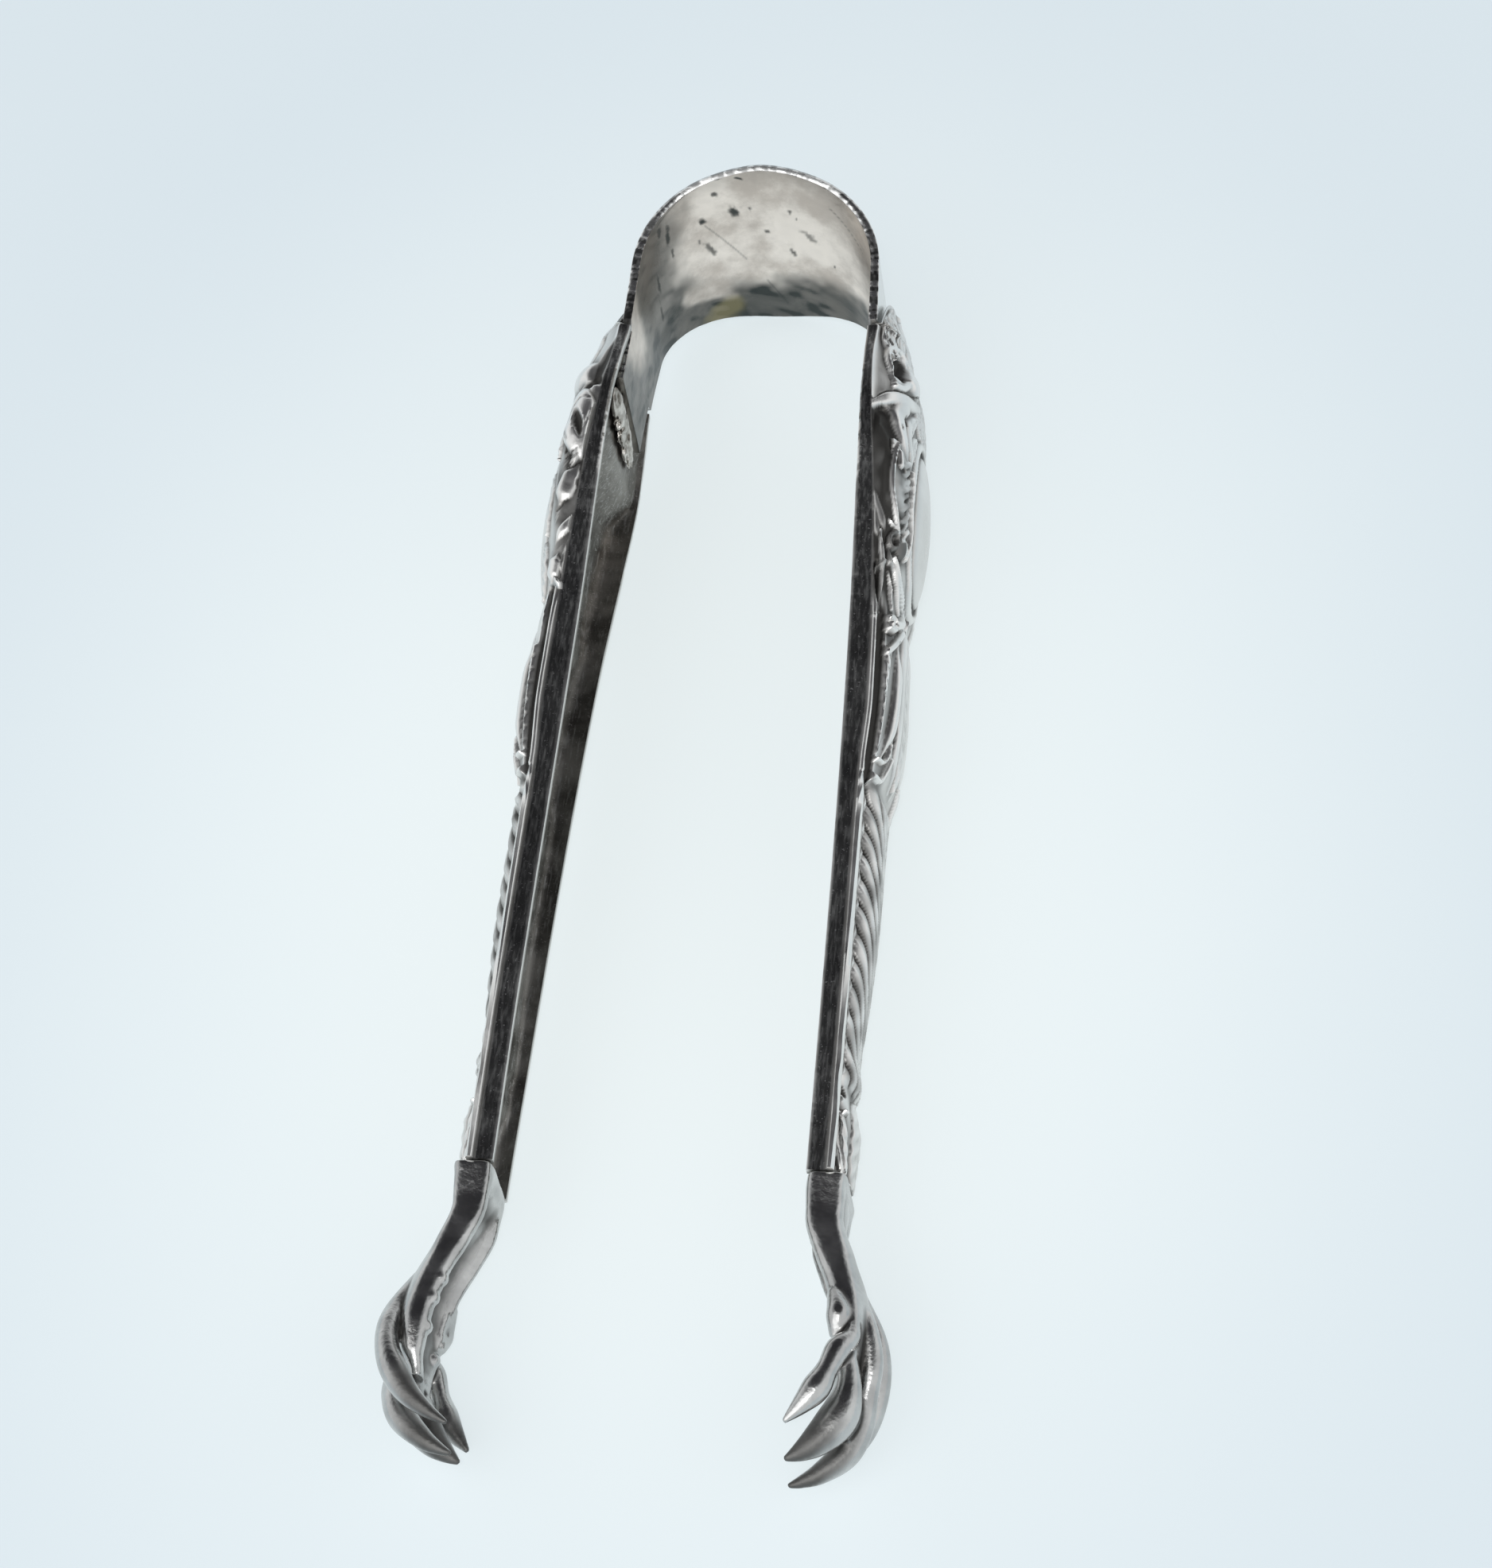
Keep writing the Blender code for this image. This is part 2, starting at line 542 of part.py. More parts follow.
def make_solder(name, side, origin, collection, material):
    """Flat lumpy bead of solder in the channel, along the end of the bow's strip."""
    mesh = bpy.data.meshes.new(name)
    work = bmesh.new()
    bmesh.ops.create_uvsphere(work, u_segments=2 * SOLDER_RINGS, v_segments=SOLDER_RINGS, radius=1.0)
    middle = BOW_END + FIT_GAP + SOLDER_HALF_LENGTH
    for vert in work.verts:
        lump = 1.0 - SOLDER_LUMP_SHARE * (0.5 + 0.5 * math.cos(math.pi * SOLDER_LUMPS * vert.co.z))
        s = middle + vert.co.x * SOLDER_HALF_LENGTH * lump
        offset = STRIP_THICKNESS - SOLDER_THICKNESS / 2 + vert.co.y * SOLDER_THICKNESS / 2 * lump
        place = in_section(s, offset, vert.co.z * SOLDER_HALF_WIDTH, side)
        vert.co = Vector(place.tolist()) - Vector(origin)
    work.to_mesh(mesh)
    work.free()
    face_outwards(mesh)
    shade(mesh)
    return new_object(name, mesh, material, collection)


def make_empty(name, location, collection):
    empty = bpy.data.objects.new(name, None)
    empty.empty_display_size = WAIST_PLACE
    empty.location = location
    collection.objects.link(empty)
    return empty


def lowest_point_of_claw():
    """Distance from the crown and height of the place where a side toe touches what the tongs lie on."""
    lowest = max(SIDE_TOE, key=lambda row: row[2] * row[3])
    _, y, heading = track(ARM_END)
    run = FIT_GAP + lowest[0] * MM
    return y - run * math.sin(heading) + lowest[1] * MM * math.cos(heading), -CLAW_HALF_HEIGHT


def lay_down(root):
    """Tilts the tongs about X so that the crown's edge and both claws lie at the same level."""
    y, low = lowest_point_of_claw()
    crown_y = -STRIP_THICKNESS / 2
    tilt = math.atan2(CROWN_HALF_WIDTH + low, crown_y - y)
    root.rotation_euler = (tilt, 0.0, 0.0)
    sunk = -CROWN_HALF_WIDTH * math.cos(tilt) + crown_y * math.sin(tilt)
    root.location = (0.0, 0.0, -sunk - REST_FLAT_DEPTH)
    return root


def make_ground(cutters):
    """Block below the level on which the tongs lie: it cuts the worn flats."""
    mesh = bpy.data.meshes.new("ground_cutter")
    work = bmesh.new()
    bmesh.ops.create_cube(work, size=1.0)
    bmesh.ops.scale(work, vec=(GROUND_SIZE, GROUND_SIZE, GROUND_DEPTH), verts=work.verts)
    bmesh.ops.translate(work, vec=(0.0, 0.0, -GROUND_DEPTH / 2), verts=work.verts)
    work.to_mesh(mesh)
    work.free()
    return as_cutter(new_object("ground_cutter", mesh, None, cutters))


def cut_flat(obj, ground):
    cut = obj.modifiers.new("worn_flat", "BOOLEAN")
    cut.operation = "DIFFERENCE"
    cut.solver = "EXACT"
    cut.object = ground


def centre_on_origin(root, objects):
    """Moves the tongs so that the middle of their bounding box is over the origin."""
    bpy.context.view_layer.update()
    graph = bpy.context.evaluated_depsgraph_get()
    corners = []
    for obj in objects:
        solid = obj.evaluated_get(graph)
        corners += [solid.matrix_world @ Vector(corner) for corner in solid.bound_box]
    corners = np.array(corners)
    middle = (corners.min(0) + corners.max(0)) / 2
    root.location.x -= middle[0]
    root.location.y -= middle[1]


def clear_scene():
    for obj in list(bpy.data.objects):
        bpy.data.objects.remove(obj, do_unlink=True)


def main():
    clear_scene()
    parts = bpy.data.collections.new("sugar_tongs")
    cutters = bpy.data.collections.new("cutters")
    bpy.context.scene.collection.children.link(parts)
    bpy.context.scene.collection.children.link(cutters)
    silver = {name: make_material(name) for name in MATERIALS}

    root = lay_down(make_empty("tongs_at_rest", (0.0, 0.0, 0.0), parts))
    ground = make_ground(cutters)
    bow = make_bow(parts, silver["satin_silver"])
    bow.parent = root
    cut_flat(bow, ground)
    solids = [bow]
    centre_x, centre_y = flex_centre()
    for side, word in ((-1, "left"), (1, "right")):
        origin = (side * centre_x, centre_y, 0.0)
        axis = make_empty(f"{word}_arm_flex_axis", origin, parts)
        axis.parent = root
        arm = make_arm(f"{word}_arm", side, origin, parts, silver["chased_silver"])
        arm.parent = axis
        solder = make_solder(f"{word}_shoulder_solder", side, origin, parts, silver["silver_solder"])
        solder.parent = axis
        claw = make_claw(f"{word}_claw", side, axis, parts, cutters, silver["chased_silver"])
        cut_flat(claw, ground)
        solids += [arm, claw, solder]
    centre_on_origin(root, solids)
    bpy.context.view_layer.update()


main()
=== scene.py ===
"""Sugar tongs with claw feet: the finished silver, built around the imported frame.

Metres. X runs across the arms, +Y points to the bow, +Z is up, and the tongs lie on their side edge.
The shapes are worked out in the tongs' own upright frame, in millimetres, and laid down at the end.
"""

import json
import math

import bmesh
import bpy
import numpy as np
from mathutils import Matrix, Vector


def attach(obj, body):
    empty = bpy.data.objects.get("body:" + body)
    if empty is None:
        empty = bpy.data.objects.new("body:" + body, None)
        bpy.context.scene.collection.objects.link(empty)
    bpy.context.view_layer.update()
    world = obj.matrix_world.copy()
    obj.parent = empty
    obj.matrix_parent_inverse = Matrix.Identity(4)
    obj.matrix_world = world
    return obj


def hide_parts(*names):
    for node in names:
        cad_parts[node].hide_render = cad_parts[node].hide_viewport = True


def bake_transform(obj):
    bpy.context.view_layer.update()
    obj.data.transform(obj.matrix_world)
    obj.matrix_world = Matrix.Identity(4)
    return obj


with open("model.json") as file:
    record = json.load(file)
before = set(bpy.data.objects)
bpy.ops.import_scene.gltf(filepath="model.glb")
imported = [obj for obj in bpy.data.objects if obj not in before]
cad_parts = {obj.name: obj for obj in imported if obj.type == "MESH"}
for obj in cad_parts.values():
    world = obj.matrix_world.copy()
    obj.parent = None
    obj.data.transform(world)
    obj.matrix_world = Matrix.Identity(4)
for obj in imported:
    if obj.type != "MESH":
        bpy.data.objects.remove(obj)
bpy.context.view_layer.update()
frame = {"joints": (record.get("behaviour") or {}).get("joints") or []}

MM = 0.001
SIDES = {1: "right", -1: "left"}

# Bent strip, as in the solids
STRIP_THICKNESS = 0.8
CROWN_RADIUS = 16.0
CROWN_TURN = math.radians(14.5)
CORNER_RADIUS = 8.2
CORNER_TURN = math.radians(73.1)
CROWN_HALF_WIDTH = 10.2
WAIST_HALF_WIDTH = 6.5
BOW_TAPER = ((0, 0), (0.25, 0.22), (0.5, 0.54), (0.75, 0.85), (1, 1))
WAIST_PLACE = 5.7
LAP_LENGTH = 5.2
LAP_STEP = 0.5
FIT_GAP = 0.3
# shares of the strip's thickness at which the rounded rim has its points
RIM_SHARES = (0.08, 0.3, 0.52, 0.74, 0.92)

# Arms. A table gives a value at places along the arm, measured from the shoulder foot
ARM_LENGTH = 87.5
ARM_TURN = math.radians(2.0)
ARM_WALL = 0.8
FLOOR_WALL = 1.0
TONGUE_LENGTH = 6.6
TONGUE_TIP_HALF_WIDTH = 1.2
TONGUE_EDGE = 0.12
SHOULDER_HALF_WIDTH = 8.9
ANKLE_HALF_WIDTH = 3.7
ARM_TAPER = ((0, 0.58), (4, 0.78), (9, 0.96), (17, 0.79), (23, 0.61), (29, 0.45), (38, 0.32), (49, 0.22),
             (69, 0.10), (82, 0))
CREST_DEPTH = ((0, 3.5), (3.5, 4.1), (6, 4.7), (9, 4.8), (16, 4.85), (20, 4.8), (24.5, 4.7), (28, 4.1),
               (30, 4.4), (36, 4.5), (42.5, 4.25), (45.5, 3.6), (50, 3.5), (57, 3.45), (63.5, 3.15),
               (69.5, 2.75), (71.5, 3), (73, 2.8), (76.5, 3.4), (80.5, 3.25), (82, 3.2))
RIM_DEPTH = ((0, 0.9), (4, 0.8), (8, 0.95), (12, 1.15), (15, 1.4), (22, 1.7), (30, 1.9), (38, 1.95),
             (44, 1.65), (50, 1.5))
# depth at which the upright side turns over into the rounded face
TURN_DEPTH = ((0, 1), (9.5, 1.25), (11.5, 1.5), (14, 2.5), (20, 2.6), (23.5, 1.9), (30, 1.75))
SECTION_POWER = ((-7, 2), (8, 2), (22, 2.2), (40, 2.2), (82, 2.4))
CHANNEL_POWER = 3.2
# how far the plain ground lies under the ornament's tops
GROUND_SINK = 0.3
# how far the walls and the lips lie inside the solids' faces
WALL_INSET = 0.06
LIP_INSET = 0.14
STEM_SHARE = 0.62
STEM_START = 46.0
STEM_END = 72.5
STEM_PITCH = 2.3
# width inside each rim that the stem's strands leave to the bead
BEAD_BAND = 0.8

CROWN_ARC = CROWN_RADIUS * CROWN_TURN
CORNER_ARC = CORNER_RADIUS * CORNER_TURN
BEND_LENGTH = CROWN_ARC + CORNER_ARC
WAIST = BEND_LENGTH + WAIST_PLACE
BOW_END = WAIST + LAP_STEP + LAP_LENGTH
SHOULDER_FOOT = WAIST + LAP_STEP + FIT_GAP
ARM_END = BEND_LENGTH + ARM_LENGTH
LAP_HALF_WIDTH = WAIST_HALF_WIDTH - ARM_WALL - FIT_GAP

# Fineness of the surfaces, in millimetres between stations and in points across
SHOULDER_STATION = 0.15
STEM_STATION = 0.2
FACE_COLUMNS = 156
WALL_COLUMNS = 6
CHANNEL_COLUMNS = 18
BOW_STATION = 0.1
BOW_COLUMNS = 90
CLAW_VOXEL = 0.14

# How a stroke of ornament widens and narrows along its run
EVEN = ((0, 1), (1, 1))
ENDS_THIN = ((0, 0.25), (0.3, 1), (0.7, 1), (1, 0.2))
FADES_OUT = ((0, 1), (0.6, 0.85), (1, 0.1))
FADES_IN = ((0, 0.15), (0.4, 0.9), (1, 1))

# Colour of the silver where tarnish fills a recess, and of painted shade
TARNISH_AND_SHADE = (0.035, 0.033, 0.03)

# Camera, solved from the tongs' outline in the photograph: its place, and rows for right, down and ahead
CAMERA_PLACE = (58.062, -253.955, 296.665)
CAMERA_ROWS = ((0.98818, 0.099666, -0.116477), (0.018996, -0.833563, -0.552097),
               (-0.152116, 0.543359, -0.825604))
PHOTO_HEIGHT_PX = 1972
FOCAL_LENGTH_PX = 5481.33
SENSOR_HEIGHT = 36.0


def smooth(table, places):
    """Values of a (place, value) table, joined by cubics that never overshoot the values."""
    knots, values = np.array(table, float).T
    rise = np.diff(values) / np.diff(knots)
    product = rise[1:] * rise[:-1]
    total = np.where(product > 0, rise[1:] + rise[:-1], 1.0)
    slope = np.zeros_like(values)
    slope[1:-1] = np.where(product > 0, 2 * product / total, 0.0)
    p = np.clip(places, knots[0], knots[-1])
    k = np.clip(np.searchsorted(knots, p, side="right") - 1, 0, len(knots) - 2)
    width = knots[k + 1] - knots[k]
    u = (p - knots[k]) / width
    start = (1 + 2 * u) * (1 - u) ** 2 * values[k] + u * (1 - u) ** 2 * width * slope[k]
    end = u ** 2 * (3 - 2 * u) * values[k + 1] + u ** 2 * (u - 1) * width * slope[k + 1]
    return start + end


def eased(u):
    """Rise from 0 to 1 as u does, level at both ends."""
    return u * u * (3 - 2 * u)


def step(low, high, value):
    """0 below low, 1 above high, and a smooth rise between them."""
    return eased(np.clip((value - low) / (high - low), 0.0, 1.0))


def wobble(value, seed, size):
    """Smooth irregular curve in one variable: eased random knots at the given spacing."""
    knots = np.random.default_rng(seed).uniform(-1, 1, 4096)
    p = np.asarray(value) / size + 1000.0
    low = np.floor(p).astype(int)
    u = eased(p - low)
    return knots[low % 4096] * (1 - u) + knots[(low + 1) % 4096] * u


def mottle(x, y, seed, size):
    """Smooth irregular height in two variables: eased random knots on a square lattice of the given size."""
    knots = np.random.default_rng(seed).uniform(-1, 1, (256, 256))
    px, py = x / size + 100.0, y / size + 100.0
    i, j = np.floor(px).astype(int), np.floor(py).astype(int)
    u, v = eased(px - i), eased(py - j)
    i, j = i % 256, j % 256
    i1, j1 = (i + 1) % 256, (j + 1) % 256
    low = knots[i, j] * (1 - u) + knots[i1, j] * u
    high = knots[i, j1] * (1 - u) + knots[i1, j1] * u
    return low * (1 - v) + high * v


def softened(values, rows, columns):
    """Grid values averaged over a window of the given half-sizes, three times over."""
    for _ in range(3):
        for axis, reach in ((0, rows), (1, columns)):
            pad = [(0, 0), (0, 0)]
            pad[axis] = (reach + 1, reach)
            total = np.cumsum(np.pad(values, pad, mode="edge"), axis)
            span = 2 * reach + 1
            upper = np.take(total, range(span, total.shape[axis]), axis)
            lower = np.take(total, range(0, total.shape[axis] - span), axis)
            values = (upper - lower) / span
    return values


def curve_through(points, fineness):
    """Smooth cubic through the points; the slope at each is half the step between its two neighbours."""
    p = np.array(points, float)
    ends = np.concatenate([[2 * p[0] - p[1]], p, [2 * p[-1] - p[-2]]])
    t = np.linspace(0.0, len(p) - 1.0, fineness * len(p))
    k = np.minimum(t.astype(int), len(p) - 2)
    u = (t - k)[:, None]
    p0, p1, p2, p3 = (ends[k + i] for i in range(4))
    return 0.5 * (2 * p1 + (p2 - p0) * u + (2 * p0 - 5 * p1 + 4 * p2 - p3) * u ** 2
                  + (3 * p1 - p0 - 3 * p2 + p3) * u ** 3)


def arc(x, y, heading, length, turn, run):
    """Point and heading after a run along an arc of the given length and turn."""
    part = np.clip(run, 0.0, length)
    radius = length / turn
    new = heading + turn * part / length
    return x + radius * (np.sin(new) - np.sin(heading)), y + radius * (np.cos(new) - np.cos(heading)), new


def track(s):
    """Inner line of the right half: x, y and heading at arc length s from the crown."""
    s = np.asarray(s, float)
    x, y, heading = arc(0.0, -STRIP_THICKNESS, 0.0, CROWN_ARC, CROWN_TURN, s)
    x, y, heading = arc(x, y, heading, CORNER_ARC, CORNER_TURN, s - CROWN_ARC)
    return arc(x, y, heading, ARM_LENGTH, ARM_TURN, s - CROWN_ARC - CORNER_ARC)


def in_section(s, offset, z):
    """Points of the right half at an outward offset and a height from the inner line."""
    x, y, heading = track(s)
    return np.stack([x + offset * np.sin(heading), y + offset * np.cos(heading), z + 0 * x], -1)


def from_ankle(run, offset, z):
    """Points in the claw's own straight frame: run along the arm's last heading, offset outwards."""
    x, y, heading = track(ARM_END)
    sin, cos = math.sin(heading), math.cos(heading)
    return np.stack([x + run * cos + offset * sin, y - run * sin + offset * cos, z + 0 * offset], -1)


def bow_half_width(s):
    """Half-width of the strip: tapering from the crown to the waist, then stepped in for the lap."""
    share = smooth(BOW_TAPER, s / WAIST)
    free = CROWN_HALF_WIDTH + (WAIST_HALF_WIDTH - CROWN_HALF_WIDTH) * share
    return free + (LAP_HALF_WIDTH - free) * np.clip((s - WAIST) / LAP_STEP, 0.0, 1.0)


def flex_centre():
    """Point about which an arm turns: the strip's middle, each bit weighed by its flexibility."""
    s = np.linspace(0.0, WAIST, 200)
    middle = in_section(s, STRIP_THICKNESS / 2, 0.0)
    weight = 1.0 / bow_half_width(s)
    x, y, _ = (middle * weight[:, None]).sum(0) / weight.sum()
    return float(x), float(y)


JOINT = next(joint for joint in frame["joints"] if joint["name"] == "left_arm_flex")
TILT = math.atan2(-JOINT["axis"][1], JOINT["axis"][2])
LAY_DOWN = Matrix.Rotation(TILT, 4, "X")
FLEX_X, FLEX_Y = flex_centre()
PLACE = Vector(JOINT["pos_m"]) - LAY_DOWN @ Vector((-FLEX_X * MM, FLEX_Y * MM, 0.0))


def laid_down(points, side=1):
    """World places of points of the right half; the left half is the right one turned about Y.

    Side -1 turns X and Z over, so both arms are the same casting, as on the real tongs.
    """
    turned = np.asarray(points, float) * MM * np.array([side, 1.0, side])
    return turned @ np.array(LAY_DOWN.to_3x3()).T + np.array(PLACE)


def tube_mesh(name, rings):
    """Closed mesh through equal rings of points: quads between the rings and one flat face at each end."""
    rows, columns, _ = rings.shape
    i, j = np.meshgrid(np.arange(rows - 1), np.arange(columns), indexing="ij")
    k = (j + 1) % columns
    quads = np.stack([i * columns + j, i * columns + k, (i + 1) * columns + k, (i + 1) * columns + j], -1)
    faces = quads.reshape(-1, 4).tolist()
    faces.append(list(range(columns))[::-1])
    faces.append([(rows - 1) * columns + c for c in range(columns)])
    mesh = bpy.data.meshes.new(name)
    mesh.from_pydata(rings.reshape(-1, 3).tolist(), [], faces)
    face_outwards(mesh)
    return mesh


def face_outwards(mesh):
    """Turns the faces of a closed mesh alike, and over if its volume comes out negative."""
    work = bmesh.new()
    work.from_mesh(mesh)
    bmesh.ops.recalc_face_normals(work, faces=work.faces)
    if work.calc_volume(signed=True) < 0:
        bmesh.ops.reverse_faces(work, faces=work.faces)
    work.to_mesh(mesh)
    work.free()


def at_vertices(mesh, name):
    """One row of three numbers for each vertex: its place or its normal."""
    values = np.zeros(3 * len(mesh.vertices))
    mesh.vertices.foreach_get(name, values)
    return values.reshape(-1, 3)


def keep_above_floor(mesh):
    """Lifts what lies below the level on which the tongs rest up to it, as a worn flat."""
    points = at_vertices(mesh, "co")
    points[:, 2] = np.maximum(points[:, 2], 0.0)
    mesh.vertices.foreach_set("co", points.ravel())
    mesh.update()


def give(mesh, name, values):
    """Stores one number for each vertex under a name that the materials read."""
    layer = mesh.attributes.new(name, "FLOAT", "POINT")
    layer.data.foreach_set("value", np.asarray(values, np.float32).ravel())


def new_piece(mesh, material, sharp=40.0):
    """Object of the mesh's name, shaded smooth but for edges sharper than the given angle in degrees."""
    piece = bpy.data.objects.new(mesh.name, mesh)
    bpy.context.scene.collection.objects.link(piece)
    mesh.materials.append(material)
    mesh.shade_smooth()
    mesh.set_sharp_from_angle(angle=math.radians(sharp))
    return piece


def arm_half_width(a):
    """Half-width of the arm: its taper below the shoulder foot, and the pointed tongue above it."""
    swell = SHOULDER_HALF_WIDTH - ANKLE_HALF_WIDTH
    taper = ANKLE_HALF_WIDTH + swell * smooth(ARM_TAPER, a)
    foot = ANKLE_HALF_WIDTH + swell * ARM_TAPER[0][1]
    share = np.clip(1 + a / TONGUE_LENGTH, 0, 1) ** 0.8
    return np.where(a < 0, TONGUE_TIP_HALF_WIDTH + (foot - TONGUE_TIP_HALF_WIDTH) * share, taper)


def arm_crest(a):
    """Offset of the outer face at its middle: a thin tip on the bow, rising to the table's depths."""
    tip = STRIP_THICKNESS + FIT_GAP + ARM_WALL
    full = smooth(CREST_DEPTH, a)
    return np.where(a < 0, tip + (full - tip) * np.clip(1 + a / TONGUE_LENGTH, 0, 1), full)


def arm_base(a):
    """Offset of the arm's inner edge: over the bow's strip on the tongue, then down to the inner line."""
    return (STRIP_THICKNESS + FIT_GAP) * (1.0 - step(-0.3, 0.0, a))


def arm_rim(a):
    """Offset of the outer rim, where the side wall meets the ornate face."""
    return np.where(a < 0, arm_base(a) + TONGUE_EDGE, smooth(RIM_DEPTH, a))


def arm_places():
    """Stations along an arm: close on the tongue and shoulder, wider on the stem, close again on the leaf."""
    return np.concatenate([
        np.arange(-TONGUE_LENGTH, -0.33, 0.2),
        np.arange(-0.3, STEM_START, SHOULDER_STATION),
        np.arange(STEM_START, STEM_END, STEM_STATION),
        np.linspace(STEM_END, ARM_END - SHOULDER_FOOT, 56),
    ])


def plain_face(a):
    """Plain outer face at places a: height, offset and signed girth from the crest, one row for each place.

    The side stands upright from the rim to the turn, and from there the offset rises as a superellipse.
    Each row is shared out along its girth, most finely near the rims.
    """
    half = arm_half_width(a)[:, None]
    rim = arm_rim(a)[:, None]
    turn = np.maximum(rim, np.where(a < 0, 0.0, smooth(TURN_DEPTH, a))[:, None])
    power = smooth(SECTION_POWER, a)[:, None]
    in_stem = step(STEM_START - 1.0, STEM_START + 1.0, a)[:, None]
    t = np.sin(np.linspace(-math.pi / 2, math.pi / 2, 600))[None, :]
    across = np.abs(t) / (1.0 + (STEM_SHARE - 1.0) * in_stem)
    dome = np.clip(1.0 - across ** power, 0.0, 1.0) ** (1.0 / power)
    upright = rim + (turn - rim) * np.linspace(0.0, 1.0, 40)[None, :]
    face = turn + np.maximum(arm_crest(a)[:, None] - GROUND_SINK - turn, 0.0) * dome
    z = half * np.concatenate([0 * upright - 1, t + 0 * half, 0 * upright + 1], 1)
    offset = np.concatenate([upright, face, upright[:, ::-1]], 1)
    run = np.cumsum(np.hypot(np.diff(z), np.diff(offset)), 1)
    girth = np.concatenate([np.zeros_like(half), run], 1)
    girth -= girth[:, -1:] / 2
    share = np.sin(np.linspace(-1.0, 1.0, FACE_COLUMNS)) / math.sin(1.0)
    rows = [[np.interp(share * g[-1], g, line) for line in (h, o, g)] for h, o, g in zip(z, offset, girth)]
    return np.array(rows).transpose(1, 0, 2)


class Relief:
    """Height of the ornament over the plain face, on the grid of places a and signed girths g.

    A stroke follows a smooth path through given points (girth, place), on the side that flip gives.
    """

    def __init__(self, a, g):
        self.a = a
        self.g = g
        self.inset = np.abs(g[:, -1:]) - np.abs(g)
        self.height = np.zeros_like(g)
        # dark: tarnish in the recesses, and painted shade and painted reflections of the dark room on the
        # ground
        self.dark = np.zeros_like(g)
        self.flip = 1

    def sides(self):
        """Turns the strokes to one side, then to the other, and back at the end."""
        for flip in (1, -1):
            self.flip = flip
            yield flip
        self.flip = 1

    def follow(self, points, reach):
        """Grid points near a path: which, how far off, on which side, and their share of its run."""
        path = curve_through(np.array(points, float) * np.array([self.flip, 1.0]), 10)
        low, high = path.min(0) - reach, path.max(0) + reach
        near = (self.g > low[0]) & (self.g < high[0]) & (self.a > low[1]) & (self.a < high[1])
        spot = np.stack([self.g[near], self.a[near]], -1)[:, None, :]
        start, run = path[:-1][None], np.diff(path, axis=0)[None]
        length = np.hypot(run[..., 0], run[..., 1])
        along = np.clip(((spot - start) * run).sum(-1) / np.maximum(length ** 2, 1e-9), 0.0, 1.0)
        gap = spot - (start + run * along[..., None])
        far = np.hypot(gap[..., 0], gap[..., 1])
        best = far.argmin(1)
        pick = np.arange(len(best))
        total = np.concatenate([[0.0], np.cumsum(length[0])])
        share = (total[best] + along[pick, best] * length[0, best]) / total[-1]
        cross = run[0, best, 0] * gap[pick, best, 1] - run[0, best, 1] * gap[pick, best, 0]
        return near, far[pick, best], np.sign(cross) * self.flip, share

    def lay(self, near, value):
        """Raises the ground to a value where it is lower, and cleans the dark from what it raises."""
        raised = step(0.0, 0.2, value - self.height[near])
        self.dark[near] *= 1.0 - 0.9 * raised
        self.height[near] = np.maximum(self.height[near], value)

    def darken(self, value):
        """Darkens the ground to a value where it is paler."""
        self.dark = np.maximum(self.dark, value)

    def rib(self, points, width, height, taper=EVEN, flat=2.0):
        """Rounded band along a path; taper scales its width and height, and flat broadens its top."""
        near, far, _, share = self.follow(points, width)
        scale = np.maximum(smooth(taper, share), 0.02)
        u = np.clip(far / (width * scale), 0.0, 1.0)
        self.lay(near, height * scale * (1.0 - u ** flat) ** 0.7)

    def cliff(self, points, reach, drop, taper):
        """Steep edge along a path: the ground drops on its right, darkened there by painted shade, and comes
        up again within the reach.
        """
        near, far, side, share = self.follow(points, reach)
        low = step(-0.1, 0.35, -far * side) * (1.0 - step(0.25, 1.0, far / reach)) * smooth(taper, share)
        self.height[near] -= drop * low
        self.dark[near] = np.maximum(self.dark[near], low)

    def cut(self, points, width, depth, taper=EVEN, dark=1.0):
        """Round-bottomed groove of the given half-width along a path, darkened inside."""
        near, far, _, share = self.follow(points, width)
        scale = np.maximum(smooth(taper, share), 0.02)
        u = np.clip(far / (width * scale), 0.0, 1.0)
        self.height[near] -= depth * scale * (1.0 - u * u)
        self.dark[near] = np.maximum(self.dark[near], dark * (1.0 - u * u))

    def leaf(self, points, width, height, veins):
        """Pointed leaf along a midrib: swelling sides, a groove down the middle and slanting veins."""
        near, far, _, share = self.follow(points, width)
        swell = np.sin(math.pi * np.clip(share, 0.0, 1.0) ** 0.75) ** 0.7
        u = far / np.maximum(width * swell, 0.02)
        edge = np.clip(1.0 - u ** 3, 0.0, 1.0) ** 0.5
        rib = 1.0 - 0.45 * np.exp(-(u / 0.16) ** 2)
        slant = 0.5 + 0.5 * np.cos(2 * math.pi * (veins * share - 0.9 * u))
        vein = 1.0 - 0.3 * slant * step(0.12, 0.4, u)
        self.lay(near, np.where(u < 1.0, height * edge * rib * vein, self.height[near]))

    def dome(self, centre, radii, height, turn=0.0, power=0.5):
        """Oval bump with half-axes (girth, place), turned by an angle."""
        rho = self.oval(centre, radii, turn)
        value = height * np.clip(1.0 - rho ** 2, 0.0, 1.0) ** power
        self.height = np.where(rho < 1.0, np.maximum(self.height, value), self.height)

    def pit(self, centre, radii, depth, turn=0.0, dark=1.0):
        """Oval hollow, darkened inside."""
        share = np.clip(1.0 - self.oval(centre, radii, turn) ** 2, 0.0, 1.0)
        self.height -= depth * share
        self.darken(dark * share ** 0.5)

    def ring(self, centre, radii, width, height):
        """Rounded band of the given half-width round an oval."""
        u = np.clip(np.abs(self.oval(centre, radii) - 1.0) * min(radii) / width, 0.0, 1.0)
        self.height = np.where(u < 1.0, np.maximum(self.height, height * (1.0 - u * u) ** 0.6), self.height)

